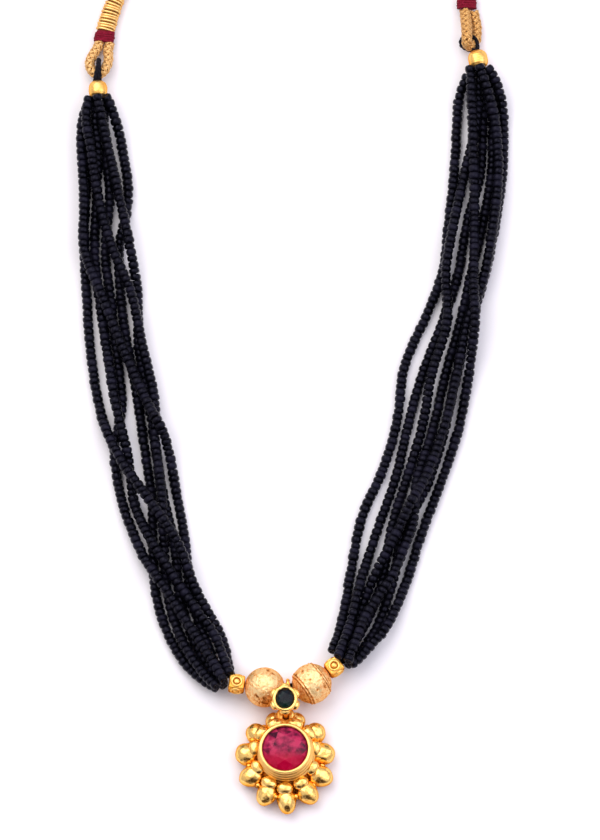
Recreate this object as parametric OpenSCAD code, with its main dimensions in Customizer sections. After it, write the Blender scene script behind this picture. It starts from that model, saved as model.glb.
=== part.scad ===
// Mangalsutra: a necklace of black seed-bead strands with gold balls, a flower-shaped
// pendant set with a red stone, and a braided cord that ties behind the neck.
// It lies on a flat surface. Z is up, Y runs from the pendant to the back of the neck,
// and the origin is the centre of the pendant's flat back. All lengths are in mm.

/* [Strands] */
// Diameter of one strand of seed beads
strand_d = 2; // [1.6:0.1:2.1]
// Room between strands that lie side by side or cross
strand_gap = 0.2; // [0.1:0.05:0.4]
// Thread that gathers the strands at their upper ends and carries the middle pieces
thread_d = 1; // [0.6:0.1:1.2]
// Room between a thread and the bore that it passes through
thread_gap = 0.3; // [0.1:0.05:0.5]

/* [Gold beads] */
// Diameter of the two frosted balls beside the pendant
ball_d = 8.4; // [7:0.1:9]
// Width of the raised belt round the right ball
belt_w = 4.9; // [3:0.1:6]
// Height of the belt above the ball's caps
belt_h = 0.2; // [0.1:0.05:0.5]
// Depth of the rough pits in the balls
pit_h = 0.25; // [0.1:0.05:0.4]
// Edge of the two cube beads
spacer_w = 3.2; // [2.6:0.1:3.4]
// Diameter of the raised ring on each side of a cube bead
boss_d = 2.5; // [1.6:0.1:2.6]
// Thickness of that ring's wire
boss_wire = 0.5; // [0.3:0.05:0.6]
// Diameter of the round beads at the upper ends of the strands
top_bead_d = 3.9; // [3:0.1:4]
// Room between a bead and the ball or strand next to it
bead_gap = 0.15; // [0.1:0.05:0.5]

/* [Flower pendant] */
// Width of one outer drop of the pendant
drop_w = 4.6; // [3.8:0.1:5]
// Length of one outer drop
drop_l = 5.2; // [4.6:0.1:5.6]
// Half of the oval that the drops' tips reach, across
pendant_rx = 10.4; // [9.8:0.1:11]
// Half of the oval that the drops' tips reach, along the necklace
pendant_ry = 11.2; // [10.6:0.1:11.8]
// Thickness of one inner oval bead, from the centre outwards
seed_w = 2.5; // [1.8:0.1:2.7]
// Length of one inner oval bead, along its row
seed_l = 3.3; // [2.4:0.1:3.5]
// Thickness of the back plate
plate_h = 0.9; // [0.6:0.1:1.4]
// Diameter of the back plate
plate_d = 15; // [14:0.2:16]
// Height of the collar's top rim above the back
collar_z = 7.9; // [7:0.1:9]
// Wall of the collar round the red stone at its top rim
collar_wall = 0.55; // [0.4:0.05:0.8]
// Width of each step down the outside of the collar
collar_step = 0.25; // [0.1:0.05:0.4]

/* [Stones] */
// Diameter of the red stone
red_d = 9.5; // [8:0.1:10]
// Depth of the red stone from table to point
red_h = 4.4; // [3.6:0.1:5]
// Width of the green stone
green_w = 3.8; // [3.2:0.1:4.2]
// Length of the green stone
green_l = 4.2; // [3.4:0.1:4.4]
// Depth of the green stone
green_h = 1.9; // [1.4:0.1:2.2]
// Room between a stone and the metal round it
stone_gap = 0.12; // [0.1:0.01:0.2]

/* [Flower setting] */
// Height of the green stone's rim above the surface
flower_z = 9.3; // [9.2:0.1:9.8]
// Depth of the flower-shaped cup
cup_h = 2.4; // [2.1:0.1:2.6]
// Diameter of each of the cup's six lobes
lobe_d = 2; // [1.6:0.1:2.1]
// Wire of the rings that hang the flower and hold the pendant
ring_wire = 0.9; // [0.7:0.05:1]

/* [Cord] */
// Diameter of the braided cord
cord_d = 2; // [1.6:0.1:2]
// Width of the red binding
binding_w = 4.3; // [4.2:0.1:4.8]
// Height of the red binding
binding_h = 2.6; // [2.4:0.1:3]
// Length of the red binding
binding_l = 2.7; // [2:0.1:3.4]
// Width of the wire wrapping
wrap_w = 3.7; // [3:0.1:4]
// Height of the wire wrapping
wrap_h = 2.7; // [2.4:0.1:2.8]
// Distance between two turns of the wrapping wire
wrap_pitch = 0.7; // [0.6:0.05:1]
// Depth of the groove between two turns
wrap_groove = 0.15; // [0.05:0.05:0.25]
// Diameter of the sliding sleeve at the back of the neck
sleeve_d = 3.6; // [3.2:0.1:4]
// Length of the sliding sleeve
sleeve_l = 7; // [5:0.5:8]
// Room between the cord and what it butts against or enters
cord_gap = 0.15; // [0.1:0.05:0.3]

/* [Hidden] */

$fn = 48;
gold = "#e3ac3f";
pale_gold = "#e9bd7a";
black_bead = "#1a1820";
crimson = "#9c0d33";
cord_gold = "#d9a860";

// Routes, chosen by hand.
// The middle line of each side's bundle of strands, from the round bead down to the
// cube bead. A place along it is a station: 0 is the first point, 1 the second.
LEFT_PATH = [[-39.4, 143.4], [-38.5, 133.5], [-38, 122.5], [-37.5, 111.5], [-36.5, 101],
    [-35.5, 90], [-33.5, 79], [-31, 68], [-28.5, 57.5], [-26, 46.5], [-22.5, 35.5],
    [-18, 25], [-13.1, 17.1]];
RIGHT_PATH = [[40.6, 149.9], [40.5, 139], [40, 128], [39, 117], [37.5, 106], [35.5, 95],
    [32.5, 84], [29.5, 73], [26, 62], [22.5, 51.5], [19.5, 41], [16.5, 31], [12.4, 22]];

// Each strand begins and ends in a ring round the middle strand: [steps out, angle] at
// the top and [steps out, angle, station] at the bottom. Between them its rows are
// [station, steps across the bundle, steps up], one step being a strand and its gap.
LEFT_STRANDS = [
    [[1, 150], [[0.5, -1.35, 1.7], [1, -1.15, 1.7], [2, -0.6, 1.25], [3, 0.5, 1.25],
        [4, 1.9, 1.25], [5, 2.5, 1.1], [6, 2.7, 0.9], [6.5, 2.35, 0.95], [7, 1.8, 1],
        [8, 1.2, 1.05], [8.5, 0.75, 0.9], [9, 0.3, 0.2], [10, -0.85, 0],
        [11, -1.2, 0.9]], [1, 150, 12]],
    [[1, 90], [[0.5, 0.2, 1.8], [1, 0.5, 1.25], [2, 1.4, 1.15], [3, 2.2, 1.3],
        [4, 2.5, 0.1], [5, 2.15, 0], [6, 2.2, 0], [6.5, 2, 0], [7, 1.75, 0],
        [8, 1.35, 0], [9, 1.35, 0], [10, 0.25, 0], [11, -0.2, 0]], [1, 270, 12]],
    [[1, 30], [[0.5, 1.5, 0.9], [1, 1.9, 0.3], [2, 2.25, 0.2], [3, 1.2, 0.1],
        [4, 0.9, 0.1], [5, 1.1, 0.05], [6, 1.15, 0], [7, 0.7, 0], [8, 0.25, 0],
        [8.5, -0.2, 0], [9, -0.8, 0], [10, -1.95, 0], [11, -2, 0.1]], [1, 210, 12]],
    [[1, 210], [[0.5, -1.7, 0.75], [1, -2, 1], [2, -1.95, 1.05], [3, -2.15, 1.05],
        [4, -0.9, 1.3], [5, 0.55, 1.15], [6, 1.65, 1.3], [6.5, 2.2, 1.95],
        [6.8, 2.65, 1.75], [7.2, 2.85, 0.6], [8, 2.65, 0], [9, 2.4, 0], [10, 1.3, 0],
        [10.5, 1.05, 0.2], [11, 0.8, 0.6]], [0, 0, 12]],
    [[0, 0], [[0.5, -0.45, 0.95], [1, -0.45, 0.75], [2, -0.75, 0.1], [3, -1.15, 0.1],
        [4, -1.15, 0.15], [5, -0.9, 0.5], [6, -1.05, 1], [7, -1.05, 0.9],
        [7.4, -1.2, 0.3], [8, -1.5, 0.1], [8.5, -1.2, 0.75], [9, -0.55, 1.1],
        [10, 0.8, 1.1], [10.5, 1.3, 1.3], [11, 1.75, 1.25]], [1, 30, 11.85]],
    [[1, 270], [[0.5, -0.85, 0], [1, -1.3, 0.1], [2, -1.8, 0], [3, -2.15, 0],
        [4, -2.35, 0], [5, -2.45, 0], [6, -2.6, 0], [6.5, -2.5, 0.6],
        [7, -2.05, 1.15], [7.4, -1.5, 1.5], [8, -0.4, 1.9], [9, 1.55, 1.7],
        [10, 1.9, 0.95], [11, 2.35, 0.3]], [1.16, 332, 11.85]],
    [[1, 330], [[0.5, 0.45, 0.05], [1, 0.3, 0], [2, 0.5, 0.3], [3, -0.15, 0.1],
        [4, -0.1, 0.1], [5, 0, 0.05], [6, -0.35, 0], [6.5, -1.25, 0], [7, -2.25, 0],
        [8, -2.6, 0], [9, -1.9, 0.5], [9.5, -1.3, 1.15], [10, -0.6, 1.1],
        [11, 0.2, 1.6]], [1, 90, 12]]];
RIGHT_STRANDS = [
    [[1, 210], [[0.5, -1.9, 0.3], [1, -2.15, 0], [2, -2.15, 0], [3, -2.15, 0],
        [4, -2, 0], [5, -2.85, 0], [6, -3.5, 0], [7, -2.8, 0], [8, -2.6, 0],
        [9, -3, 0], [10, -2.6, 0], [11, -2, 0.3], [11.4, -1.65, 0.7]],
        [1.28, 186, 11.85]],
    [[1, 270], [[0.5, 0.4, 0], [1, 0.3, 0], [2, 0.35, 0], [3, -0.4, 0], [4, -0.5, 0],
        [5, -1.15, 0], [6, -1.6, 0], [7, -1.65, 0], [8, -1.2, 0], [9, -1.2, 0],
        [10, -1.35, 0.3], [10.5, -1.3, 0.8], [11, -1.1, 1.05], [11.4, -0.8, 1.6]],
        [1, 120, 12]],
    [[0, 0], [[0.5, -0.15, 0.85], [1, -0.3, 0.75], [2, -1.1, 0.3], [3, -1.6, 1],
        [4, -1.7, 1.05], [5, -0.65, 1.1], [6, -0.75, 0.8], [7, -0.3, 0.3],
        [8, -0.15, 0], [9, 0, 0], [10, 0.5, 0], [10.5, 0.5, 0], [11, 0.35, 0.3],
        [11.4, 0.2, 0.9]], [0, 0, 12]],
    [[1, 330], [[0.5, 1.4, 0.1], [1, 1.3, 0], [2, 1.4, 0], [3, 1.1, 0], [4, 0.7, 0],
        [5, 0.5, 0], [6, 0.5, 0], [7, 0.75, 0], [8, 0.85, 0.5], [8.5, 1.4, 1],
        [9, 1.9, 0.9], [10, 1.4, 1], [10.5, 0.7, 1.05], [11, 0.1, 1.35],
        [11.4, 0.25, 1.9]], [1, 60, 12]],
    [[1, 90], [[0.5, 0.75, 1.85], [1, 1.5, 1.1], [2, 2.1, 1.05], [3, 2.15, 1.05],
        [4, 2.05, 1], [4.5, 1.65, 1], [5, 1.25, 1], [6, 1.6, 1], [7, 1.8, 1.05],
        [8, 1.6, 1.4], [8.5, 1.15, 2.1], [9, 0.8, 1.3], [9.5, 0.35, 1.15],
        [10, -0.15, 0.8], [10.5, -0.5, 0.1], [11, -0.6, 0], [11.4, -0.6, 0.25]],
        [1, 240, 12]],
    [[1, 150], [[0.5, -0.8, 1.75], [1, -0.7, 1.75], [2, -0.25, 1.2], [3, 0.35, 1.1],
        [4, 1, 1.6], [4.5, 1.5, 2], [5, 2.05, 1.8], [6, 2.75, 0.3], [7, 3.1, 0],
        [8, 3.05, 0], [9, 2.9, 0], [10, 2.8, 0], [11, 2.3, 0.8], [11.4, 1.75, 1.15]],
        [1, 0, 12]],
    [[1, 30], [[0.5, 1.95, 1], [1, 2.3, 0.1], [2, 2.45, 0], [3, 2.3, 0], [4, 2, 0],
        [5, 1.5, 0], [6, 1.55, 0], [7, 1.85, 0], [8, 1.9, 0], [8.5, 1.5, 0],
        [9, 1.05, 0], [10, 1.55, 0], [11, 1.45, 0], [11.4, 1.2, 0.3]], [1, 300, 12]]];

// The cord's eye at each side, from the binding round to the binding again.
LEFT_LOOP = [[-39.4, 156.05, 1.6], [-39.7, 155.1, 1.65], [-40.5, 153.7, 1.9],
    [-41.1, 152.3, 2.3], [-41, 151.1, 2.7], [-40.4, 150.3, 2.9], [-39.4, 150.05, 2.9],
    [-38.4, 150.3, 2.9], [-37.8, 151.1, 2.7], [-37.4, 152.4, 2.3],
    [-37.4, 153.6, 1.95], [-37.6, 154.6, 1.65], [-37.35, 155.5, 1.6]];
RIGHT_LOOP = [[37.35, 163.6, 2.1], [37.4, 162.8, 2.15], [37.5, 161.2, 2.9],
    [37.8, 159.4, 3.7], [37.9, 158, 4.2], [38, 157, 4.2], [38.3, 156.2, 3.6],
    [38.9, 155.95, 2.9], [39.5, 156.3, 2.2], [40, 157.4, 1.7], [40.3, 158.9, 1.4],
    [40.2, 160.5, 1.3], [39.6, 162.2, 1.35], [39.35, 163.55, 1.4]];
// The wire wrapping of the cord above each binding.
LEFT_WRAP = [[-37.7, 159.2, 1.6], [-36.9, 162, 1.5], [-35.8, 165.2, 1.45],
    [-34.6, 168.5, 1.45], [-33.4, 171.7, 1.45]];
RIGHT_WRAP = [[38.2, 167, 1.75], [37.7, 170, 1.6], [37, 173.4, 1.5],
    [36, 176.8, 1.45], [34.9, 180, 1.45]];
// The free cord behind the neck, from each wrapping into the sleeve.
LEFT_CORD = [[-33.25, 172.1, 1.4], [-32.6, 174.6, 1.2], [-32.1, 178, 1.1],
    [-31.1, 182.4, 1.1], [-29.4, 187.2, 1.1], [-27, 191.8, 1.1], [-24, 196, 1.1],
    [-20.3, 199.8, 1.1], [-16.2, 202.9, 1.2], [-11.8, 205.3, 1.4], [-7.6, 206.9, 1.7],
    [-4, 207.6, 1.9], [-0.2, 207.6, 1.9]];
RIGHT_CORD = [[34.75, 180.4, 1.4], [34, 183.2, 1.2], [32.7, 187.4, 1.1], [30.8, 191.5, 1.1],
    [28.2, 195.5, 1.1], [24.9, 199.1, 1.1], [21, 202.3, 1.1], [16.7, 204.8, 1.2],
    [12.6, 206.4, 1.4], [9.4, 207.2, 1.7], [6, 207.6, 1.9], [2.2, 207.6, 1.9]];

// Places of the gold pieces on the surface.
bead_z = 4.2;
ball_left_at = [-4.4, 15.6, bead_z];
ball_right_at = [5.6, 16.5, bead_z];
bail_at = (ball_left_at + ball_right_at) / 2;
left_axis = 173;
right_axis = 35.8;
ball_to_spacer = ball_d / 2 + spacer_w / 2 + bead_gap;
spacer_left_at = ball_left_at + ball_to_spacer * heading(left_axis);
spacer_right_at = ball_right_at + ball_to_spacer * heading(right_axis);
spacer_left_roll = 12;
spacer_right_roll = 0;
top_bead_left_at = [-39.4, 145.65, 3.3];
top_bead_right_at = [40.45, 152.1, 3.5];
flower_at = [0, 12.05];
collar_y = 1.6;
seeds_y = 1;
sleeve_at = [1, 207.6, 1.9];

// Strand bundle
strand_step = strand_d + strand_gap;
ring_share = 1.05;
strand_sides = 8;
strand_rings_per_row = 3;
top_axis_z = 3.5;
turn = 360;

function heading(a) = [cos(a), sin(a), 0];
function unit(v) = v / norm(v);
function pick(list, i) = list[max(0, min(len(list) - 1, i))];
// A smooth curve through four neighbouring points, between the middle two.
function between(a, b, c, d, f) =
    (2 * b + (c - a) * f + (2 * a - 5 * b + 4 * c - d) * f * f
     + (3 * b - a - 3 * c + d) * f * f * f) / 2;
function along(list, s) =
    let (i = max(0, min(floor(s), len(list) - 2)))
    between(pick(list, i - 1), pick(list, i), pick(list, i + 1), pick(list, i + 2), s - i);
function smooth(list, n) =
    [for (i = [0 : (len(list) - 1) * n]) along(list, i / n)];

// The bundle's middle line at a station, its direction across, and a strand's points.
tiny = 0.01;
function bundle_side(path, s) =
    let (a = along(path, max(0, s - tiny)), b = along(path, min(len(path) - 1, s + tiny)),
         t = unit(b - a))
    [-t[1], t[0]];
function strand_point(path, row) =
    let (c = along(path, row[0]), side = bundle_side(path, row[0]) * row[1] * strand_step)
    [c[0] + side[0], c[1] + side[1], strand_d / 2 + row[2] * strand_step];
function ring_row(station, place, axis_z) =
    let (r = place[0] * ring_share)
    [station, r * cos(place[1]),
     (axis_z - strand_d / 2) / strand_step + r * sin(place[1])];
function strand_rows(strand) =
    concat([ring_row(0, strand[0], top_axis_z)], strand[1],
           [ring_row(strand[2][2], strand[2], bead_z)]);
function strand_route(path, strand) =
    [for (row = smooth(strand_rows(strand), strand_rings_per_row)) strand_point(path, row)];

// Direction of a route at one of its points, and the two directions square to it.
function heading_at(route, i) = unit(pick(route, i + 1) - pick(route, i - 1));
function side_at(route, i) = unit(cross(heading_at(route, i), [0, 0, 1]));
function up_at(route, i) = cross(side_at(route, i), heading_at(route, i));

// A closed tube round a route: rings of an oval w wide and h high. In every second ring
// the oval is smaller by groove, which ribs the tube.
module tube(route, w, h, sides, groove = 0) {
    n = len(route);
    points = [for (i = [0 : n - 1]) for (j = [0 : sides - 1])
        let (a = turn * (j + 0.5) / sides, shrink = i % 2 == 0 ? groove : 0)
        route[i] + (w / 2 - shrink) * cos(a) * side_at(route, i)
                 + (h / 2 - shrink) * sin(a) * up_at(route, i)];
    walls = [for (i = [0 : n - 2]) for (j = [0 : sides - 1])
        let (a = i * sides + j, b = i * sides + (j + 1) % sides)
        each [[a, b, b + sides], [a, b + sides, a + sides]]];
    ends = [[for (j = [sides - 1 : -1 : 0]) j],
            [for (j = [0 : sides - 1]) (n - 1) * sides + j]];
    polyhedron(points, concat(walls, ends), convexity = 10);
}

// A straight round rod from one point to another.
module rod(a, b, d) {
    v = b - a;
    translate(a)
        rotate([0, acos(v[2] / norm(v)), atan2(v[1], v[0])])
            cylinder(d = d, h = norm(v));
}

// Turns +X to the heading a, at a place.
module place(at, a) {
    translate(at) rotate([0, 0, a]) children();
}

// A round body along X, l long and w thick: a ball at its +X end that runs into a
// smaller one, taper times as thick, at the other end.
module egg(l, w, taper) {
    translate([(l - w) / 2, 0, 0]) sphere(d = w);
    translate([-(l - w * taper) / 2, 0, 0]) sphere(d = w * taper);
}

// A round-cut stone: eight-sided table, star and main facets, girdle and pavilion.
// z is measured from the girdle's upper edge.
girdle_h = 0.25;
table_share = 0.56;
star_share = 0.8;
star_rise = 0.62;
pavilion_share = 0.3;
pavilion_fall = 0.76;
crown_share = 0.26;
module cut_stone(w, l, h) {
    crown = h * crown_share;
    pavilion = h - crown - girdle_h;
    facet = turn / 8;
    function ring(n, r, a0, z) =
        [for (k = [0 : n - 1]) [r * cos(a0 + turn * k / n) * w / 2,
                                r * sin(a0 + turn * k / n) * l / 2, z]];
    points = concat(
        ring(8, table_share, 0, crown),
        ring(8, star_share, facet / 2, crown * star_rise),
        ring(16, 1, 0, 0),
        ring(16, 1, 0, -girdle_h),
        ring(8, pavilion_share, facet / 2, -girdle_h - pavilion * pavilion_fall),
        [[0, 0, -girdle_h - pavilion]]);
    t = 0;
    m = 8;
    g = 16;
    b = 32;
    p = 48;
    tip = 56;
    table = [[for (k = [0 : 7]) t + k]];
    crown_faces = [for (k = [0 : 7])
        let (k1 = (k + 1) % 8, kb = (k + 7) % 8, g0 = g + 2 * k, g1 = g0 + 1,
             g2 = g + 2 * k1)
        each [[t + k, m + k, t + k1], [t + k, g0, m + k], [t + k, m + kb, g0],
              [m + k, g0, g1], [m + k, g1, g2]]];
    girdle = [for (k = [0 : 15])
        let (k1 = (k + 1) % 16)
        each [[b + k, b + k1, g + k1], [b + k, g + k1, g + k]]];
    under = [for (k = [0 : 7])
        let (kb = (k + 7) % 8, b0 = b + 2 * k, b1 = b0 + 1, b2 = b + 2 * ((k + 1) % 8))
        each [[p + k, b1, b0], [p + k, b2, b1], [tip, b0, p + kb], [tip, p + k, b0]]];
    // Faces are listed counter-clockwise from outside, and turned round here.
    faces = [for (f = concat(table, crown_faces, girdle, under))
        [for (i = [len(f) - 1 : -1 : 0]) f[i]]];
    polyhedron(points, faces, convexity = 4);
}

// Pendant
drops = 11;
// Angle left open at the top of the row of drops, where the eyelet is.
top_gap = 40;
drop_pitch = (turn - top_gap) / (drops - 1);
drop_z = drop_w / 2;
drop_taper = 0.86;
drop_step = drop_l / 2;
seed_rx = 6.3;
seed_ry = 7.3;
seed_z = 3.9;
drum_top_z = 3.3;
drum_r = 6.6;
collar_r = red_d / 2 + stone_gap + collar_wall;
collar_base_z = 2.6;
collar_steps = 3;
step_h = 1.1;
lip_h = 0.55;
lip_in = 0.28;
red_z = collar_z - lip_h;
red_at = [0, collar_y, red_z];
eyelet_at = [0.2, 9.6, 3.4];
eyelet_d = 3.8;
eyelet_hole = 1.5;
eyelet_h = 1;
// Angle of drop k; the middle one is at the bottom.
function drop_angle(k) = -90 + (k - (drops - 1) / 2) * drop_pitch;
function on_oval(rx, ry, a) = [rx * cos(a), ry * sin(a), 0];

module drops_row() {
    for (k = [0 : drops - 1]) {
        a = drop_angle(k);
        at = on_oval(pendant_rx - drop_step, pendant_ry - drop_step, a);
        translate(at + [0, 0, drop_z])
            rotate([0, 0, atan2(at[1], at[0])])
                egg(drop_l, drop_w, drop_taper);
    }
}

module seeds_row() {
    for (k = [0 : drops - 1]) {
        a = drop_angle(k);
        at = on_oval(seed_rx, seed_ry, a);
        translate(at + [0, seeds_y, seed_z])
            rotate([0, 0, atan2(at[1], at[0]) + 90])
                egg(seed_l, seed_w, 1);
    }
}

module collar() {
    translate([0, collar_y, 0])
        rotate_extrude()
            polygon(concat(
                [[0, plate_h / 2]],
                [[collar_r + collar_steps * collar_step, plate_h / 2]],
                [for (i = [collar_steps : -1 : 1])
                    each [[collar_r + i * collar_step, collar_z - i * step_h],
                          [collar_r + (i - 1) * collar_step, collar_z - i * step_h + 0.2]]],
                [[collar_r, collar_z - 0.15], [collar_r - 0.15, collar_z],
                 [red_d / 2 + stone_gap - lip_in, collar_z],
                 [0, collar_z]]));
}

// The seat that the stone drops into, wider than the stone by its gap all round, with
// the lip of the collar turned over the stone's edge.
module stone_seat(d, h) {
    r = d / 2 + stone_gap;
    crown = h * crown_share;
    point = h - crown + stone_gap;
    rotate_extrude()
        polygon([[0, -point - 0.2], [r * pavilion_share + 0.2, -point - 0.2],
                 [r, -girdle_h - stone_gap - 0.15], [r, stone_gap],
                 [r - lip_in, lip_h * 0.75], [r - lip_in, h], [0, h]]);
}

module pendant_setting() {
    color(gold)
    difference() {
        union() {
            cylinder(d = plate_d, h = plate_h);
            translate([0, seeds_y, 0])
                cylinder(r1 = drum_r + 0.6, r2 = drum_r, h = drum_top_z);
            drops_row();
            seeds_row();
            collar();
            translate(eyelet_at - [0, 0, eyelet_h / 2])
                cylinder(d = eyelet_d, h = eyelet_h);
        }
        translate(red_at) stone_seat(red_d, red_h);
        translate(eyelet_at - [0, 0, eyelet_h])
            cylinder(d = eyelet_hole, h = 2 * eyelet_h);
    }
}

module red_stone() {
    color("#c2003f") translate(red_at) cut_stone(red_d, red_d, red_h);
}

// Flower setting: a cup with six lobes, hung on the thread by a ring behind it and
// holding the pendant's eyelet by a ring below it.
lobes = 6;
lobe_out = 1.9;
lobe_drop = 0.1;
cup_r = 2.45;
cup_foot_r = 1.5;
cup_rim = 0.25;
green_z = flower_z - 0.45;
// The lower ring stands round the middle of the eyelet's rim.
lower_ring_at = [eyelet_at[0], eyelet_at[1] + (eyelet_d + eyelet_hole) / 4, eyelet_at[2]];
lower_ring_r = 1.35;
bail_r = thread_d / 2 + thread_gap + ring_wire / 2;
module loop_ring(at, a, r, wire) {
    place(at, a) rotate([0, 90, 0]) rotate_extrude() translate([r, 0]) circle(d = wire);
}

module flower_setting() {
    back = flower_z - cup_h;
    color(gold)
    difference() {
        union() {
            translate([flower_at[0], flower_at[1], back]) {
                cylinder(r1 = cup_foot_r, r2 = cup_r, h = cup_h * 0.6);
                translate([0, 0, cup_h * 0.6]) cylinder(r = cup_r, h = cup_h * 0.4);
            }
            for (k = [0 : lobes - 1])
                place([flower_at[0], flower_at[1], flower_z - lobe_d / 2 - lobe_drop],
                      30 + k * turn / lobes)
                    translate([lobe_out, 0, 0]) sphere(d = lobe_d);
            loop_ring(lower_ring_at, 0, lower_ring_r, ring_wire);
            rod([lower_ring_at[0], lower_ring_at[1] + 0.4,
                 lower_ring_at[2] + lower_ring_r - 0.1],
                [flower_at[0], flower_at[1] - 0.4, back + 0.5], ring_wire);
            loop_ring(bail_at, atan2(ball_right_at[1] - ball_left_at[1],
                                     ball_right_at[0] - ball_left_at[0]),
                      bail_r, ring_wire);
            rod(bail_at + [0, -bail_r * 0.8, bail_r * 0.6],
                [flower_at[0], flower_at[1] + 0.8, back + 0.4], ring_wire);
        }
        translate([flower_at[0], flower_at[1], green_z])
            green_seat();
    }
}

// The green stone is oval, so its seat is too: an open-topped cut of the stone's own
// outline, wider by the gap.
module green_seat() {
    w = green_w + 2 * stone_gap;
    l = green_l + 2 * stone_gap;
    depth = green_h * (1 - crown_share) + stone_gap;
    translate([0, 0, -depth])
        linear_extrude(height = depth + cup_h)
            scale([w, l]) circle(d = 1, $fn = 16);
}

module green_stone() {
    color("#0b3a2c")
        translate([flower_at[0], flower_at[1], green_z])
            cut_stone(green_w, green_l, green_h);
}

// Balls
bore_d = thread_d + 2 * thread_gap;
pit_d = 0.9;
// Pits of the left ball: [angle round Z, angle above the surface, size]
LEFT_PITS = [[80, 42, 1], [45, 40, 0.8], [215, 35, 1.1]];
RIGHT_PITS = [[135, 35, 1], [160, 20, 0.9], [205, 60, 0.9], [325, 35, 1], [290, 50, 1.1]];

module bore(at, toward) {
    rod(at - bore_d / 2 * toward, at + ball_d * toward, bore_d);
}

module pits(list) {
    for (p = list)
        rotate([0, 0, p[0]]) rotate([0, -p[1], 0])
            translate([ball_d / 2 + pit_d / 2 * p[2] - pit_h, 0, 0])
                sphere(d = pit_d * p[2], $fn = 20);
}

inner_axis = atan2(ball_right_at[1] - ball_left_at[1], ball_right_at[0] - ball_left_at[0]);

module ball_left() {
    color(pale_gold)
    difference() {
        translate(ball_left_at) sphere(d = ball_d);
        bore(ball_left_at, heading(left_axis));
        bore(ball_left_at, heading(inner_axis));
        translate(ball_left_at) pits(LEFT_PITS);
    }
}

// The belt is a ring let into the ball, with the ball's own curve outside.
belt_steps = 8;
belt_in = 0.72;
module belt() {
    r = ball_d / 2;
    half = asin(belt_w / ball_d);
    rotate([0, 90, 0])
        rotate_extrude()
            polygon(concat(
                [[r * belt_in, belt_w / 2], [r * belt_in, -belt_w / 2]],
                [for (i = [0 : belt_steps])
                    let (a = half * (2 * i / belt_steps - 1)) [r * cos(a), r * sin(a)]]));
}

module ball_right() {
    color(pale_gold)
    difference() {
        union() {
            difference() {
                translate(ball_right_at) sphere(d = ball_d - 2 * belt_h);
                bore(ball_right_at, heading(right_axis));
                bore(ball_right_at, heading(inner_axis + 180));
            }
            place(ball_right_at, right_axis) belt();
        }
        translate(ball_right_at) pits(RIGHT_PITS);
    }
}

// Cube bead along X with a ring and a dot on each of its four sides.
cube_round = 1.42;
dot_d = 1.2;
module spacer(at, a, roll) {
    half = spacer_w / 2;
    place(at, a) rotate([roll, 0, 0])
        difference() {
            union() {
                intersection() {
                    cube(spacer_w, center = true);
                    sphere(r = half * cube_round);
                    rotate([0, 90, 0]) cylinder(r = half * cube_round * 0.92,
                                                h = spacer_w, center = true);
                }
                for (k = [0 : 3])
                    rotate([k * 90, 0, 0]) {
                        translate([0, 0, half])
                            rotate_extrude() translate([(boss_d - boss_wire) / 2, 0])
                                circle(d = boss_wire, $fn = 24);
                        translate([0, 0, half - dot_d * 0.2]) sphere(d = dot_d, $fn = 24);
                    }
            }
            rotate([0, 90, 0]) cylinder(d = bore_d, h = 2 * spacer_w, center = true);
        }
}

module spacer_left() {
    color(gold) spacer(spacer_left_at, left_axis, spacer_left_roll);
}

module spacer_right() {
    color(gold) spacer(spacer_right_at, right_axis, spacer_right_roll);
}

// The thread runs from inside one cube bead through both balls and the flower's bail
// into the other cube bead.
module centre_thread() {
    left_end = spacer_left_at + spacer_w / 2 * heading(left_axis);
    right_end = spacer_right_at + spacer_w / 2 * heading(right_axis);
    route = [left_end, (left_end + ball_left_at) / 2, ball_left_at,
             bail_at, ball_right_at, (right_end + ball_right_at) / 2, right_end];
    color("#241a26") tube(route, thread_d, thread_d, 8);
}

// Round beads and the thread loops above them. A loop is a ring that holds the cord's
// eye, with a stem through the round bead.
left_stem = [[-39.4, 143.75, 3.5], [-39.35, 148.4, 2.9]];
right_stem = [[40.65, 150.35, 3.5], [39.85, 154.9, 3.5]];
thread_rings = 24;
// An oval ring about a place: along lies in its plane square to Y.
function oval_ring(at, along, reach_y) =
    [for (i = [0 : thread_rings - 1])
        let (a = turn * i / thread_rings)
        at + along * cos(a) + [0, reach_y * sin(a), 0]];

// A tube closed on itself round a flat ring of points; normal is square to its plane.
module closed_tube(points, normal, d, sides) {
    n = len(points);
    middle = (points[0] + points[n / 2]) / 2;
    rings = [for (i = [0 : n - 1]) for (j = [0 : sides - 1])
        let (a = turn * j / sides,
             t = unit(points[(i + 1) % n] - points[(i + n - 1) % n]),
             out = cross(t, normal))
        points[i] + d / 2 * (cos(a) * out + sin(a) * normal)];
    faces = [for (i = [0 : n - 1]) for (j = [0 : sides - 1])
        let (a = i * sides + j, b = i * sides + (j + 1) % sides,
             c = ((i + 1) % n) * sides + j, e = ((i + 1) % n) * sides + (j + 1) % sides)
        each [[a, b, e], [a, e, c]]];
    polyhedron(rings, faces, convexity = 6);
}

module thread_loop(at, along, reach_y, stem) {
    color("#241a26")
    union() {
        closed_tube(oval_ring(at, along, reach_y), unit(cross(along, [0, 1, 0])),
                    thread_d, 8);
        rod(stem[0], stem[1], thread_d);
    }
}

module thread_loop_left() {
    thread_loop(top_bead_left_at + [0.15, 4.85, -0.4], [0, 0, 1.75], 2.1, left_stem);
}

module thread_loop_right() {
    thread_loop(top_bead_right_at + [-1.45, 4.2, -0.65], [1.6, 0, 0.95], 2, right_stem);
}

module top_bead(at, stem) {
    v = unit(stem[1] - stem[0]);
    color(gold)
    difference() {
        translate(at) sphere(d = top_bead_d);
        rod(stem[0] - top_bead_d * v, stem[1] + top_bead_d * v, bore_d);
    }
}

module top_bead_left() {
    top_bead(top_bead_left_at, left_stem);
}

module top_bead_right() {
    top_bead(top_bead_right_at, right_stem);
}

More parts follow.
